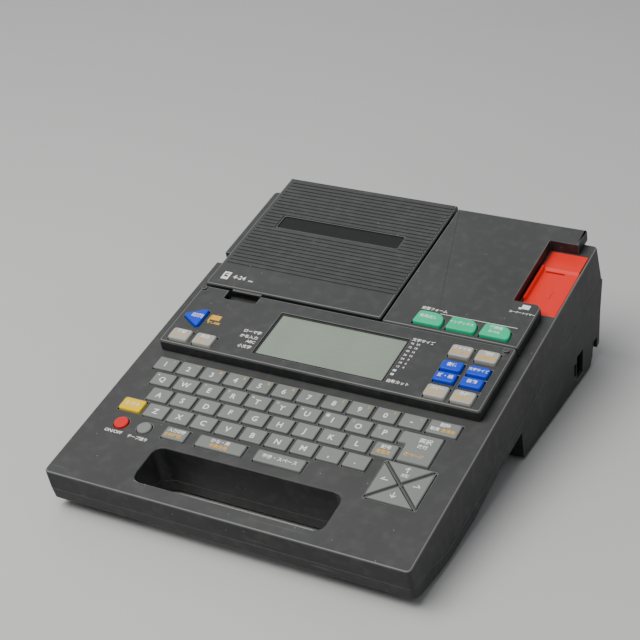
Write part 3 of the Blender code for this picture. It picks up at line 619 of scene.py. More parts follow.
def metal(name, colour, roughness):
    """Ground metal with fine parallel lines."""
    made, tree, shader = blank(name)
    lines = placed_group(tree, "Ground lines", {"Roughness": roughness})
    shader.inputs["Base Color"].default_value = rgba(colour)
    shader.inputs["Metallic"].default_value = 1.0
    tree.links.new(lines["Roughness"], shader.inputs["Roughness"])
    bump(tree, shader, lines["Height"], GROUND_LINE_STRENGTH, GROUND_LINE_DEPTH)
    return made


DISPLAY_CLOUD_SCALE = 38.0
DISPLAY_CLOUD_GAINS = (0.93, 1.08)
DISPLAY_DOT_SCALE = 1500.0
DISPLAY_DOT_STRENGTH = 0.10
DISPLAY_DOT_GAIN = 0.55


def display_glass(name, colour):
    """Grey-green display under its cover, with faint clouds and a fine grid of dots."""
    made, tree, shader = blank(name)
    where = spot_on_piece(tree)
    cloud = mask(tree, noise(tree, where, DISPLAY_CLOUD_SCALE, 3.0), 0.3, 0.75)
    grid = node(tree, "TexVoronoi", {
        "Vector": where, "Scale": DISPLAY_DOT_SCALE, "Randomness": 0.0,
    }).outputs["Distance"]
    tone = mixed(tree, cloud, *[rgba(colour, gain) for gain in DISPLAY_CLOUD_GAINS])
    dots = combined(tree, mask(tree, grid, 0.38, 0.62), DISPLAY_DOT_STRENGTH)
    dotted = mixed(tree, dots, tone, rgba(colour, DISPLAY_DOT_GAIN))
    tree.links.new(dotted, shader.inputs["Base Color"])
    shader.inputs["Roughness"].default_value = 0.34
    shader.inputs["Coat Weight"].default_value = 0.25
    shader.inputs["Coat Roughness"].default_value = 0.12
    return made


SOLDER_MASK = ((0.010, 0.120, 0.045, 1.0), (0.014, 0.150, 0.060, 1.0))
TRACK_COLOUR = (0.030, 0.230, 0.095, 1.0)
TRACK_SCALE = 160.0
TRACK_WIDTH = 0.03
TRACK_HEIGHT = 0.00003


def circuit_board(name):
    """Green solder mask with paler tracks."""
    made, tree, shader = blank(name)
    tracks = node(tree, "TexBrick", {
        "Vector": spot_on_piece(tree), "Scale": TRACK_SCALE,
        "Color1": SOLDER_MASK[0], "Color2": SOLDER_MASK[1],
        "Mortar": TRACK_COLOUR, "Mortar Size": TRACK_WIDTH,
    })
    tree.links.new(tracks.outputs["Color"], shader.inputs["Base Color"])
    bump(tree, shader, tracks.outputs["Fac"], 0.4, TRACK_HEIGHT)
    shader.inputs["Roughness"].default_value = 0.38
    return made


FLOOR_TONES = ((0.60, 0.60, 0.59, 1.0), (0.66, 0.66, 0.65, 1.0))


def stage_floor(name):
    """Plain pale floor with a slight unevenness."""
    made, tree, shader = blank(name)
    cloud = noise(tree, spot_on_piece(tree), 3.0, 4.0)
    tree.links.new(mixed(tree, cloud, *FLOOR_TONES), shader.inputs["Base Color"])
    shader.inputs["Roughness"].default_value = 0.8
    return made


SATIN = 0.35
DULL = 0.25
INK_GLOSS = 0.2
KEY_EDGE_GAIN = 1.35


def bright_key(name, colour, roughness, rubbed):
    """A key in a strong colour, little worn."""
    return plastic(
        name, colour, roughness, rubbed=rubbed, scratches=0.1, dust=0.05, gloss=DULL
    )


def ink(name, colour):
    return plastic(name, colour, 0.6, rubbed=1.0, scratches=0.1, dust=0.0, gloss=INK_GLOSS)


def build_finishes():
    """Every finish by its name."""
    c = colours()
    key_edge = [share * KEY_EDGE_GAIN for share in c.grey_key]
    return {
        "casing": plastic(
            "casing_plastic", c.casing, 0.52,
            # The top film lightens upward faces: dust and painted sheen.
            rubbed=3.4, scratches=0.6, dust=0.5, dust_and_sheen=0.095, gloss=SATIN,
        ),
        # Bevel faces of the casing: rubbed wear and painted highlight.
        "casing_edge_wear_and_highlight": plastic(
            "casing_rubbed_and_highlit_edge", c.casing_edge_wear_and_highlight, 0.45,
            rubbed=1.6, scratches=0.5, dust=0.4, dust_and_sheen=0.34, gloss=SATIN,
        ),
        "grey_key": plastic(
            "grey_key", c.grey_key, 0.46, rubbed=1.4, scratches=0.2, dust=0.15, gloss=SATIN
        ),
        "grey_key_edge": plastic(
            "grey_key_edge", key_edge, 0.40, rubbed=1.3, scratches=0.2, dust=0.1, gloss=SATIN
        ),
        "light_key": plastic(
            "light_key", c.light_key, 0.46, rubbed=1.2, scratches=0.15, dust=0.15, gloss=SATIN
        ),
        "blue_key": bright_key("blue_key", c.blue_key, 0.40, 1.4),
        "green_key": bright_key("green_key", c.green_key, 0.40, 1.2),
        "yellow_key": bright_key("yellow_key", c.yellow_key, 0.42, 1.1),
        "red_key": bright_key("red_key", c.red_key, 0.40, 1.3),
        "tray": plastic(
            "tray_plastic", c.tray, 0.40, rubbed=1.15, scratches=0.25, dust=0.1, gloss=DULL
        ),
        "white_ink": ink("white_ink", c.ink_white),
        "orange_ink": ink("orange_ink", c.ink_orange),
        "window": plastic(
            "smoked_window", c.window, 0.50,
            rubbed=3.0, scratches=0.2, dust=0.05, grain=0.000001, gloss=0.2,
        ),
        "socket": plastic(
            "socket_plastic", (0.02, 0.02, 0.02), 0.3, rubbed=2.0, scratches=0.3, dust=0.3
        ),
        "rubber": plastic(
            "foot_rubber", (0.018, 0.018, 0.018), 0.85,
            rubbed=3.0, scratches=0.5, dust=0.9, grain=0.00005,
        ),
        "gear": plastic(
            "gear_plastic", (0.66, 0.64, 0.58), 0.42, rubbed=1.1, scratches=0.2, dust=0.2
        ),
        "roller": plastic(
            "roller_rubber", (0.030, 0.030, 0.032), 0.75, rubbed=2.0, scratches=0.3, dust=0.4
        ),
        "cartridge": plastic(
            "cartridge_shell", (0.42, 0.43, 0.44), 0.42, rubbed=1.3, scratches=0.3, dust=0.3
        ),
        "paper": plastic(
            "paper_label", (0.70, 0.69, 0.64), 0.7, rubbed=1.0, scratches=0.1, dust=0.3
        ),
        "cells": plastic(
            "cell_wrap", (0.10, 0.11, 0.13), 0.3, rubbed=2.0, scratches=0.2, dust=0.2
        ),
        "steel": metal("ground_steel", (0.56, 0.56, 0.57), 0.28),
        "display": display_glass("display_glass", c.display),
        "board": circuit_board("circuit_board"),
        "floor": stage_floor("pale_floor"),
    }


FINISHES = {}


def finish(name):
    """The finish with that name; all are made when the first is asked for."""
    if not FINISHES:
        FINISHES.update(build_finishes())
    return FINISHES[name]


# ---------------------------------------------------------------- operators


class LabelMakerOperator:
    """What every operator here shares."""

    bl_options = {"REGISTER", "UNDO"}

    def execute(self, context):
        self.build()
        deselect()
        return {"FINISHED"}


def near_plane(vertex, w, slack=0.1):
    """True where the vertex lies on the deck level given, in millimetres."""
    return abs((DECK.inverted() @ vertex.co).z / MM - w) < slack


def within(vertex, box):
    """True where the vertex lies inside the box of deck places (u, v, u, v)."""
    spot = DECK.inverted() @ vertex.co
    u, v = spot.x / MM + HALF_WIDTH, spot.y / MM
    return box[0] < u < box[2] and box[1] < v < box[3]


def cased(piece, body, node_name, width=None):
    """Casing plastic on a refined copy of a charcoal node, its bevelled edges lighter for rubbed
    wear and a painted highlight.
    """
    paint(piece, finish("casing"), finish("casing_edge_wear_and_highlight"))
    soften(piece, width or sizes().edge, edge_slot=1)
    return fit(piece, body, "charcoal", node_name)


HANDLE_RIM = (49.0, 8.3, 163.3, 36.7)
# Recesses in the right side: name, size, place along the side and height.
SIDE_RECESSES = (
    ("catch", (4.4, 3.6, 9.4), 89.5, 12.9),
    ("pocket", (4.4, 7.4, 12.0), 122.7, 10.5),
)


class LABELMAKER_OT_casings(LabelMakerOperator, bpy.types.Operator):
    """Upper and lower casing with softened edges, a rounded handle rim and side recesses"""

    bl_idname = "label_maker.casings"
    bl_label = "Casings"

    def build(self):
        upper = copy_of("upper_case", "upper_casing")
        round_edges(
            upper,
            lambda e: all(near_plane(v, 0.0) and within(v, HANDLE_RIM) for v in e.verts),
            sizes().grip_edge, 3,
        )
        cased(upper, "chassis", "upper_case")

        lower = copy_of("lower_case", "lower_casing")
        low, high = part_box("lower_case")
        side = high.x / MM
        carve(lower, [block(name, size, (side, y, z)) for name, size, y, z in SIDE_RECESSES])
        cased(lower, "chassis", "lower_case")


DISPLAY_RIM = (80.0, 35.5, 0.5)
DISPLAY_RIM_PLACE = (108.3, 129.25, 6.6)
DISPLAY_RIM_WIDTH = 0.9
# Captions beside the display: words, u and v.
LEFT_CAPTIONS = (
    ("ローマ字", 65.6, 127.0), ("かな入力", 65.6, 122.7), ("ABC", 65.6, 119.1),
    ("小文字", 65.6, 114.6),
)
RIGHT_CAPTIONS = (("文字サイズ", 149.6, 147.6), ("自動カット", 150.0, 113.0))
# The list of type sizes: u of each column and its numbers from the top.
SIZE_COLUMNS = ((151.2, "96 72 48 36 24 18 12".split()), (154.6, "24 18 16 12 9 6 4".split()))
SIZE_LIST_TOP = 144.4
SIZE_LIST_PITCH = 3.25
CUT_MARKS = (121.6, 118.4)


class LABELMAKER_OT_display_panel(LabelMakerOperator, bpy.types.Operator):
    """Raised panel round the display, its studs and its printed marks"""

    bl_idname = "label_maker.display_panel"
    bl_label = "Display panel"

    def build(self):
        cased(copy_of("display_panel", "display_panel_cover"), "chassis", "display_panel")

        glass = copy_of("lcd_window", "display_cover")
        paint(glass, finish("display"))
        soften(glass, 0.00015)
        fit(glass, "chassis", "display_window", "lcd_window")

        self.rim()
        print_sheet("panel_print", self.marks())

    def rim(self):
        """A flat frame, made from a plate by opening its two faces."""
        rim = block("display_rim", DISPLAY_RIM)
        choose(rim, "FACE", lambda f: abs(f.normal.z) > 0.9)
        bpy.ops.mesh.inset(thickness=DISPLAY_RIM_WIDTH * MM)
        bpy.ops.mesh.delete(type="FACE")
        choose(rim, "EDGE", lambda e: len(e.link_faces) == 1)
        bpy.ops.mesh.bridge_edge_loops()
        bpy.ops.object.mode_set(mode="OBJECT")
        paint(rim, finish("socket"))
        soften(rim, 0.0001)
        settle(rim, deck_place(*DISPLAY_RIM_PLACE))
        fit(rim, "chassis", "charcoal")

    def marks(self):
        white, orange = finish("white_ink"), finish("orange_ink")
        level = PANEL_TOP + INK_LIFT
        marks = [
            printed(words, 2.9, deck_place(u, v, level), white, "RIGHT")
            for words, u, v in LEFT_CAPTIONS
        ]
        marks += [
            printed(words, 2.7, deck_place(u, v, level), white, "LEFT")
            for words, u, v in RIGHT_CAPTIONS
        ]
        for row in range(len(SIZE_COLUMNS[0][1])):
            v = SIZE_LIST_TOP - SIZE_LIST_PITCH * row
            for u, numbers in SIZE_COLUMNS:
                marks.append(printed(numbers[row], 2.1, deck_place(u, v, level), white, bold=0.03))
        marks += [printed_bar(1.9, 1.5, deck_place(151.0, v, level), white) for v in CUT_MARKS]
        marks.append(printed_bar(6.6, 4.0, deck_place(32.6, 131.9, level), orange))
        marks.append(printed_bar(1.0, 5.6, deck_place(29.4, 130.9, level), orange))
        marks.append(printed("試し印刷", 2.0, deck_place(33.6, 127.4, level), orange))
        return marks


COVER_LINE = (45.5, 0.35)
COVER_LINE_TURN = math.radians(0.6)


class LABELMAKER_OT_mechanism_cover(LabelMakerOperator, bpy.types.Operator):
    """Raised cover beside the lid, with its printed line and marks"""

    bl_idname = "label_maker.mechanism_cover"
    bl_label = "Mechanism cover"

    def build(self):
        cased(
            copy_of("mechanism_cover", "mechanism_cover_shell"), "chassis", "mechanism_cover"
        )
        white = finish("white_ink")
        level = PANEL_TOP + INK_LIFT
        marks = [
            printed_bar(*COVER_LINE, deck_place(178.4, 172.3, level, COVER_LINE_TURN), white),
            printed("定型フォーム", 2.6, deck_place(143.4, 174.4, level), white, "LEFT"),
            printed("コーナートリマー", 1.9, deck_place(198.6, 185.2, level), white),
            printed_bar(4.6, 3.6, deck_place(199.0, 190.6, level), white),
            printed_bar(1.8, 1.5, deck_place(196.2, 189.0, level), white),
        ]
        print_sheet("cover_print", marks)


# Bars of the tape mark: width, depth, u and v.
TAPE_MARK = (
    (4.8, 1.2, 18.6, 171.4), (4.8, 2.2, 18.6, 166.4), (1.2, 4.0, 16.8, 168.8),
    (1.2, 3.2, 20.4, 169.2), (1.6, 1.1, 18.9, 169.5),
)
RIB_ROWS = (181.6, 267.6)
RIB_SPAN = (12.6, 123.6)
WINDOW_ROWS = (218.6, 232.6)
SPANS_BESIDE_WINDOW = ((12.6, 24.2), (107.6, 123.6))
RIB_ROOT = 0.6
RIB_ROUNDING = 0.2


class LABELMAKER_OT_tape_lid(LabelMakerOperator, bpy.types.Operator):
    """Hinged lid with its ribs, its smoked window and its tape mark"""

    bl_idname = "label_maker.tape_lid"
    bl_label = "Tape lid"

    def build(self):
        cased(copy_of("tape_lid", "tape_lid_shell"), "lid", "tape_lid")
        self.ribs()

        pane = copy_of("lid_window", "lid_window_pane")
        paint(pane, finish("window"))
        soften(pane, 0.00025)
        fit(pane, "lid", "smoked_window", "lid_window")

        white = finish("white_ink")
        level = LID_TOP + INK_LIFT
        marks = [
            printed_bar(width, depth, deck_place(u, v, level), white)
            for width, depth, u, v in TAPE_MARK
        ]
        marks.append(printed("4-24", 4.6, deck_place(23.4, 168.6, level), white, "LEFT", 0.07))
        marks.append(printed("mm", 2.0, deck_place(34.2, 167.6, level), white, "LEFT"))
        print_sheet("lid_print", marks, "lid")

    def rib(self, span, width, height):
        """A bar with rounded upper edges, rooted in the lid."""
        rib = block(
            "rib", (span, width, height + RIB_ROOT), (0.0, 0.0, (height - RIB_ROOT) / 2)
        )
        round_edges(
            rib,
            lambda e: all(v.co.z > 0 for v in e.verts)
            and abs(e.verts[0].co.x - e.verts[1].co.x) > MM,
            RIB_ROUNDING * MM, 2,
        )
        return rib

    def ribs(self):
        """Ribs up the whole lid; the window shortens the ones beside it."""
        s = sizes()
        pitch, width, height = s.rib_pitch / MM, s.rib_width / MM, s.rib_height / MM
        first, last = RIB_ROWS
        copies = []
        for k in range(int((last - first) / pitch) + 1):
            v = first + k * pitch
            beside = WINDOW_ROWS[0] < v < WINDOW_ROWS[1]
            for start, end in SPANS_BESIDE_WINDOW if beside else (RIB_SPAN,):
                place = deck_place((start + end) / 2, v, LID_TOP)
                copies.append(settle(self.rib(end - start, width, height), place))
        ribs = join(copies[0], copies[1:])
        ribs.name = "lid_ribs"
        paint(ribs, finish("casing"))
        smooth(ribs)
        fit(ribs, "lid", "charcoal")


KEY_PITCH = 15.3
ROW_PITCH = 11.9
ROW_SHIFT = KEY_PITCH / 3
FIRST_KEY = (20.5, 94.3)
CAP = (13.0, 9.6)
CAP_LEVEL_SLACK = 1e-6
STRIP_TOP = -2.7
STRIP_THICKNESS = 1.0
STRIP_MARGIN = 0.7
# Rows from the rear: node, first signs and second signs.
KEY_ROWS = (
    ("number_key_row", "1234567890-", "!\"#$%&'()=~"),
    ("upper_key_row", "QWERTYUIOP", "+-*/=<>@:;"),
    ("home_key_row", "ASDFGHJKL", ""),
    ("lower_key_row", "ZXCVBNM,.", ""),
)
SECOND_SIGN_RISE = 2.4


class LABELMAKER_OT_character_keys(LabelMakerOperator, bpy.types.Operator):
    """Four rows of letter and digit caps, copied from one shaped cap"""

    bl_idname = "label_maker.character_keys"
    bl_label = "Character keys"

    def cap(self):
        height = KEY_TOP - STRIP_TOP
        cap = block("cap", (CAP[0], CAP[1], height), (0.0, 0.0, STRIP_TOP + height / 2))
        s = sizes()
        up = Vector((0.0, 0.0, 1.0))
        round_edges(cap, lambda e: along(e, up) > 0.9, s.key_corner, 4)
        round_edges(
            cap,
            lambda e: all(abs(v.co.z - KEY_TOP * MM) < CAP_LEVEL_SLACK for v in e.verts),
            s.key_edge, 3,
        )
        paint(cap, finish("grey_key"), finish("grey_key_edge"))
        return smooth(cap, 50)

    def strip(self, low, high, v):
        """The bar below the deck that holds the caps of a row together."""
        strip = block(
            "strip",
            (high - low, CAP[1] + 2 * STRIP_MARGIN, STRIP_THICKNESS),
            (0.0, 0.0, STRIP_TOP - STRIP_THICKNESS / 2),
        )
        paint(strip, finish("grey_key"))
        return settle(strip, deck_place((low + high) / 2, v, 0.0))

    def build(self):
        cap = self.cap()
        white, orange = finish("white_ink"), finish("orange_ink")
        level = KEY_TOP + INK_LIFT
        for row, (node_name, letters, seconds) in enumerate(KEY_ROWS):
            first = FIRST_KEY[0] + row * ROW_SHIFT
            v = FIRST_KEY[1] - row * ROW_PITCH
            ink_of_second, across, size = (orange, 4.0, 2.4) if row == 0 else (white, -4.2, 2.3)
            parts = []
            for column, letter in enumerate(letters):
                u = first + column * KEY_PITCH
                parts.append(duplicate(cap, "cap_" + str(column), deck_place(u, v, 0.0)))
                spot = deck_place(u - 0.3, v - 0.6, level)
                parts.append(printed(letter, 5.1, spot, white, bold=0.1))
                if seconds:
                    spot = deck_place(u + across, v + SECOND_SIGN_RISE, level)
                    parts.append(printed(seconds[column], size, spot, ink_of_second))
            low = first - CAP[0] / 2 - STRIP_MARGIN
            high = first + (len(letters) - 1) * KEY_PITCH + CAP[0] / 2 + STRIP_MARGIN
            keys = join(self.strip(low, high, v), parts)
            keys.name = node_name + "_caps"
            fit(keys, node_name, "key_grey", node_name)
        bpy.data.objects.remove(cap, do_unlink=True)


KEY_SLOTS = {
    "grey_key": "key_grey", "light_key": "key_light_grey", "red_key": "key_red",
    "yellow_key": "key_yellow", "blue_key": "key_blue", "green_key": "key_green",
}
KEY_TOP_ROUNDING = 0.35
CURSOR_MIDDLE = (186.3, 50.8)
WHITE, ORANGE = "white_ink", "orange_ink"
# Each key: node, finish, corner radius, centre and legends. Each legend: words, size, offset
# across, offset up and its ink where that isn't white.
DECK_KEYS = (
    ("key_power", "red_key", 0.0, (21.1, 45.2), []),
    ("key_tape_feed", "grey_key", 0.0, (36.0, 45.4), []),
    ("key_shift", "yellow_key", 1.3, (19.7, 59.3), [("シフト", 3.2, 0.0, 0.2)]),
    ("key_convert", "grey_key", 1.0, (55.6, 46.3),
     [("入力切換", 2.7, 0.0, 1.7), ("文字種類", 2.7, -1.0, -1.7, ORANGE)]),
    ("key_kana", "grey_key", 1.0, (83.7, 46.5),
     [("かな・英", 2.9, -1.0, 1.6), ("半角全角", 2.8, -0.6, -1.8, ORANGE)]),
    ("key_space", "grey_key", 1.0, (119.3, 46.5),
     [("変換・スペース", 3.0, 0.0, 0.2)]),
    ("key_symbol", "grey_key", 1.0, (168.4, 70.5),
     [("記号", 2.9, 0.0, 1.8), ("定型文", 2.7, 0.0, -1.8, ORANGE)]),
    ("key_delete", "grey_key", 1.0, (191.1, 94.3),
     [("削除", 2.9, 0.0, 2.0), ("取消", 2.6, -4.4, -1.7),
      ("全消去", 2.6, 3.2, -1.7, ORANGE)]),
    ("key_enter", "grey_key", 0.7, (185.8, 76.5),
     [("選択", 3.8, 0.5, 5.6), ("改行", 2.8, 0.5, 1.6),
      ("改ページ", 2.7, -1.4, -5.4, ORANGE)]),
    ("key_left", "grey_key", 0.5, CURSOR_MIDDLE, [("←", 5.6, -9.0, 0.3)]),
    ("key_right", "grey_key", 0.5, CURSOR_MIDDLE, [("→", 5.6, 9.0, 0.3)]),
    ("key_up", "grey_key", 0.5, CURSOR_MIDDLE,
     [("↑", 5.2, 0.0, 9.6), ("文頭", 2.3, 0.0, 5.9)]),
    ("key_down", "grey_key", 0.5, CURSOR_MIDDLE, [("↓", 5.2, 0.0, -8.4)]),
)
PANEL_KEYS = (
    ("key_print", "blue_key", 1.0, (20.4, 128.7), [("印刷", 3.8, 2.0, 0.2)]),
    ("key_preview", "light_key", 1.4, (20.9, 112.1),
     [("確認", 2.9, 0.0, 1.7), ("カウンタ", 2.5, 0.0, -1.7, ORANGE)]),
    ("key_margin", "light_key", 1.4, (36.6, 112.1),
     [("余白", 2.9, 0.0, 1.7), ("長さ", 2.5, -0.6, -1.7, ORANGE)]),
    ("key_file", "light_key", 1.4, (179.8, 145.0),
     [("ファイル", 2.7, 0.0, 1.6), ("読込保存", 2.5, 0.0, -1.7, ORANGE)]),
    ("key_layout", "light_key", 1.4, (195.1, 145.0),
     [("割付", 2.8, 0.0, 1.6), ("段落配置", 2.5, 0.0, -1.7, ORANGE)]),
    ("key_font", "blue_key", 1.4, (179.8, 132.8), [("書体", 3.0, 0.0, 0.2)]),
    ("key_size", "blue_key", 1.4, (195.1, 132.8), [("文字サイズ", 2.3, 0.0, 0.2)]),
    ("key_direction", "blue_key", 1.4, (179.8, 123.6), [("縦・横", 3.0, 0.0, 0.2)]),
    ("key_style", "blue_key", 1.4, (195.1, 123.6), [("装飾", 3.0, 0.0, 0.2)]),
    ("key_copy", "light_key", 1.4, (179.8, 112.1),
     [("コピー", 2.7, 0.0, 1.6), ("貼り付け", 2.5, -0.6, -1.6, ORANGE)]),
    ("key_frame", "light_key", 1.4, (195.1, 112.1),
     [("外枠", 2.8, 0.0, 1.6), ("表組割付", 2.5, 0.0, -1.6, ORANGE)]),
    ("key_form_first", "green_key", 1.6, (152.0, 165.7),
     [("背見出し", 2.7, -0.8, 0.4)]),
    ("key_form_second", "green_key", 1.6, (171.8, 165.7),
     [("インデックス", 2.4, -0.6, 0.4)]),
    ("key_form_third", "green_key", 1.6, (191.6, 165.7),
     [("管理用", 2.6, -0.8, 2.0), ("ラベル", 2.4, -0.8, -1.4)]),
)


class LABELMAKER_OT_function_keys(LabelMakerOperator, bpy.types.Operator):
    """Every key with a shape or a colour of its own, with its legend"""

    bl_idname = "label_maker.function_keys"
    bl_label = "Function keys"

    def key(self, name, colour, corner, top):
        """A refined copy of the key's node, with rounded corners and top."""
        key = copy_of(name, name + "_cap")
        if corner > 0:
            round_edges(
                key,
                lambda e: along(e, DECK_NORMAL) > 0.5 and turned(e) > 50,
                corner * MM, 4,
            )
        round_edges(
            key,
            lambda e: all(near_plane(v, top, 0.02) for v in e.verts),
            KEY_TOP_ROUNDING * MM, 2,
        )
        edge = "grey_key_edge" if colour == "grey_key" else colour
        paint(key, finish(colour), finish(edge))
        return smooth(key, 50)

    def build(self):
        for top, keys in ((KEY_TOP, DECK_KEYS), (PANEL_KEY_TOP, PANEL_KEYS)):
            for name, colour, corner, (u, v), legends in keys:
                key = self.key(name, colour, corner, top)
                words = [
                    printed(
                        text, size, deck_place(u + du, v + dv, top + INK_LIFT),
                        finish(shade[0] if shade else WHITE),
                    )
                    for text, size, du, dv, *shade in legends
                ]
                if words:
                    join(key, words)
                fit(key, name, KEY_SLOTS[colour], name)
        white = finish("white_ink")
        print_sheet("deck_print", [
            printed("ON/OFF", 3.1, deck_place(20.2, 38.2, INK_LIFT), white),
            printed("テープ送り", 2.6, deck_place(36.2, 37.6, INK_LIFT), white),
        ])


ARROW_PLACE = (203.0, 214.0, -0.5)
ARROW_THICKNESS = 0.35


class LABELMAKER_OT_trimmer(LabelMakerOperator, bpy.types.Operator):
    """Red trimmer tray with its guide lip, ridge and arrow, and the blade under it"""

    bl_idname = "label_maker.trimmer"
    bl_label = "Trimmer"

    def build(self):
        tray = copy_of("trimmer_tray", "trimmer_tray_shell")
        paint(tray, finish("tray"))
        soften(tray, 0.0004, steps=3)
        shaft = block("arrow_shaft", (3.2, 5.0, ARROW_THICKNESS), (0.0, -1.6, 0.0))
        head = disc("arrow_head", 3.4, ARROW_THICKNESS, (0.0, 2.6, 0.0), 3)
        for part in (shaft, head):
            round_edges(part, lambda e: all(v.co.z > 0 for v in e.verts), 0.12 * MM, 1)
            paint(part, finish("tray"))
            settle(part, deck_place(*ARROW_PLACE))
        join(tray, [shaft, head])
        fit(tray, "chassis", "red", "trimmer_tray")
        paint(frame["nodes"]["trimmer_blade"], finish("steel"))


# Frame nodes that are shown as they are, with their finish.
INNER_FINISHES = {
    "print_head": "steel", "cutter_blade": "steel", "lid_hinge_pin": "steel",
    "drive_motor": "steel", "keyboard_board": "board", "display_board": "board",
    "main_board": "board", "platen_roller": "roller", "ribbon_spindle": "gear",
    "idler_gear": "gear", "motor_pinion": "gear", "battery_cells": "cells",
    "dc_jack": "socket",
}
CARTRIDGE_TOP = -4.6
CARTRIDGE_LABEL = (54.0, 30.0, 0.2)
CARTRIDGE_LABEL_MIDDLE = (82.0, 226.0)
REELS = ((96.0, 192.0), (60.0, 211.0))


class LABELMAKER_OT_inner_parts(LabelMakerOperator, bpy.types.Operator):
    """Cartridge bay, tape cartridge, drive, boards, cells and socket"""

    bl_idname = "label_maker.inner_parts"
    bl_label = "Inner parts"

    def reel(self, u, v):
        """The sunk end of a reel in the cartridge's top."""
        hub = disc("hub", 7.0, 0.8, sides=40)
        choose(hub, "FACE", lambda f: f.normal.z > 0.9)
        bpy.ops.mesh.inset(thickness=3.2 * MM)
        bpy.ops.mesh.extrude_region_move(
            TRANSFORM_OT_translate={"value": (0.0, 0.0, -0.5 * MM)}
        )
        bpy.ops.object.mode_set(mode="OBJECT")
        soften(paint(hub, finish("gear")), 0.0001)
        return settle(hub, deck_place(u, v, CARTRIDGE_TOP + 0.1))

    def build(self):
        for name, colour in INNER_FINISHES.items():
            paint(frame["nodes"][name], finish(colour))
        cased(
            copy_of("cartridge_bay", "cartridge_bay_well"), "chassis", "cartridge_bay", 0.0003
        )

        shell = copy_of("tape_cartridge", "tape_cartridge_shell")
        paint(shell, finish("cartridge"), finish("cartridge"))
        soften(shell, 0.0007, steps=3)
        u, v = CARTRIDGE_LABEL_MIDDLE
        label = block("cartridge_label", CARTRIDGE_LABEL)
        round_edges(label, lambda e: along(e, Vector((0.0, 0.0, 1.0))) > 0.9, 1.5 * MM, 4)
        settle(paint(label, finish("paper")), deck_place(u, v, CARTRIDGE_TOP + 0.05))
        reels = [self.reel(*middle) for middle in REELS]
        spot = deck_place(u, v, CARTRIDGE_TOP + 0.2)
        width_mark = printed("24mm", 8.0, spot, finish("socket"), bold=0.05)
        join(shell, [label, width_mark] + reels)
        fit(shell, "chassis", "cartridge", "tape_cartridge")


GRIP_COUNT = 5
GRIP_PITCH = 2.4
GRIP_FROM_EDGE = 12.0
GRIP_LENGTH = 22.0
GRIP_TAPER = 3.0
FEET = ("foot_front_left", "foot_front_right", "foot_rear_left", "foot_rear_right")


class LABELMAKER_OT_underside(LabelMakerOperator, bpy.types.Operator):
    """Battery cover with its grip bars, and the feet"""

    bl_idname = "label_maker.underside"
    bl_label = "Underside"

    def build(self):
        cover = copy_of("battery_cover", "battery_cover_plate")
        # The bevelled edges take the lighter edge colour: wear and painted highlight.
        paint(cover, finish("casing"), finish("casing_edge_wear_and_highlight"))
        soften(cover, 0.0003, edge_slot=1)
        low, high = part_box("battery_cover")
        middle = (low + high) / 2 / MM
        grips = []
        for k in range(GRIP_COUNT):
            y = high.y / MM - GRIP_FROM_EDGE - GRIP_PITCH * k
            grip = block(
                "grip", (GRIP_LENGTH - GRIP_TAPER * k, 1.2, 0.9), (middle.x, y, low.z / MM)
            )
            round_edges(
                grip, lambda e: along(e, Vector((1.0, 0.0, 0.0))) > 0.9, 0.3 * MM, 2
            )
            grips.append(smooth(paint(grip, finish("casing"))))
        join(cover, grips)
        fit(cover, "battery_door", "charcoal", "battery_cover")
        for name in FEET:
            foot = copy_of(name, name + "_pad")
            soften(paint(foot, finish("rubber")), 0.0003, angle=50)
            fit(foot, "chassis", "rubber", name)


FLOOR_SIZE = 6.0
SKY_COLOUR = (0.93, 0.96, 1.0, 1.0)
SKY_STRENGTH = 0.30
# Area lights: name, place, target, size, power in watts and colour.
LIGHTS = (
    ("front_softbox", (-0.35, -0.55, 1.30), (0.0, 0.0, 0.0), (1.2, 1.0), 22.0, (1.0, 0.99, 0.97)),
    ("rear_glow", (-0.70, 0.95, 0.85), (0.0, 0.0, 0.03), (1.0, 0.6), 1.6, (0.95, 0.98, 1.0)),
)
CAMERA_PLACE = (0.376192, -0.661023, 0.495428)
CAMERA_TURN = (60.83103, 3.54669, 28.27088)
CAMERA_LENS = 89.07
CAMERA_SENSOR = 36.0
CAMERA_NEAR = 0.01


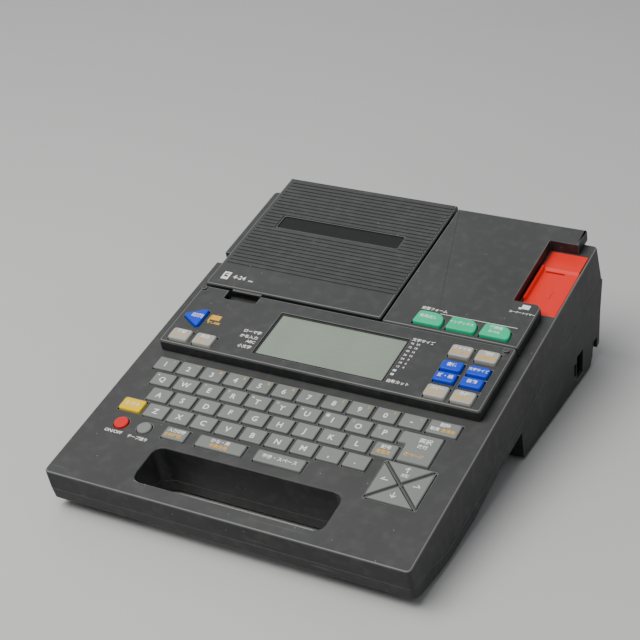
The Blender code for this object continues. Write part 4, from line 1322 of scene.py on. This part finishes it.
class LABELMAKER_OT_stage(LabelMakerOperator, bpy.types.Operator):
    """Pale floor, soft studio light and the camera"""

    bl_idname = "label_maker.stage"
    bl_label = "Stage"

    def light(self, name, place, target, size, power, tone):
        data = bpy.data.lights.new(name, "AREA")
        data.shape = "RECTANGLE"
        data.size, data.size_y = size
        data.energy = power
        data.color = tone
        lamp = bpy.data.objects.new(name, data)
        bpy.context.scene.collection.objects.link(lamp)
        lamp.location = place
        aim = Vector(target) - Vector(place)
        lamp.rotation_euler = aim.to_track_quat("-Z", "Y").to_euler()

    def camera(self):
        data = bpy.data.cameras.new("camera")
        data.lens = CAMERA_LENS
        data.sensor_width = CAMERA_SENSOR
        data.clip_start = CAMERA_NEAR
        camera = bpy.data.objects.new("camera", data)
        camera.location = CAMERA_PLACE
        camera.rotation_euler = Euler([math.radians(a) for a in CAMERA_TURN], "XYZ")
        bpy.context.scene.collection.objects.link(camera)
        bpy.context.scene.camera = camera

    def build(self):
        deselect()
        bpy.ops.mesh.primitive_plane_add(size=FLOOR_SIZE)
        floor = bpy.context.object
        floor.name = "stage_floor"
        paint(floor, finish("floor"))

        world = bpy.data.worlds.new("soft_surroundings")
        world.use_nodes = True
        sky = world.node_tree.nodes["Background"]
        sky.inputs["Color"].default_value = SKY_COLOUR
        sky.inputs["Strength"].default_value = SKY_STRENGTH
        bpy.context.scene.world = world
        for lamp in LIGHTS:
            self.light(*lamp)
        self.camera()


class LABELMAKER_PT_pieces(bpy.types.Panel):
    """Sizes, colours and the pieces in the order they are built"""

    bl_label = "Label maker"
    bl_idname = "LABELMAKER_PT_pieces"
    bl_space_type = "VIEW_3D"
    bl_region_type = "UI"
    bl_category = "Label maker"

    def draw(self, context):
        for group in (context.scene.label_maker_sizes, context.scene.label_maker_colours):
            column = self.layout.column()
            for name in group.__annotations__:
                column.prop(group, name)
        for operator in OPERATORS:
            self.layout.operator(operator.bl_idname)


OPERATORS = (
    LABELMAKER_OT_casings,
    LABELMAKER_OT_display_panel,
    LABELMAKER_OT_mechanism_cover,
    LABELMAKER_OT_tape_lid,
    LABELMAKER_OT_character_keys,
    LABELMAKER_OT_function_keys,
    LABELMAKER_OT_trimmer,
    LABELMAKER_OT_inner_parts,
    LABELMAKER_OT_underside,
    LABELMAKER_OT_stage,
)
CLASSES = (LABELMAKER_PG_sizes, LABELMAKER_PG_colours) + OPERATORS + (LABELMAKER_PT_pieces,)


def register():
    for cls in CLASSES:
        bpy.utils.register_class(cls)
    bpy.types.Scene.label_maker_sizes = bpy.props.PointerProperty(type=LABELMAKER_PG_sizes)
    bpy.types.Scene.label_maker_colours = bpy.props.PointerProperty(type=LABELMAKER_PG_colours)


def unregister():
    del bpy.types.Scene.label_maker_colours
    del bpy.types.Scene.label_maker_sizes
    for cls in reversed(CLASSES):
        bpy.utils.unregister_class(cls)


def main():
    register()
    for operator in OPERATORS:
        group, name = operator.bl_idname.split(".")
        getattr(getattr(bpy.ops, group), name)()


if __name__ == "__main__":
    main()
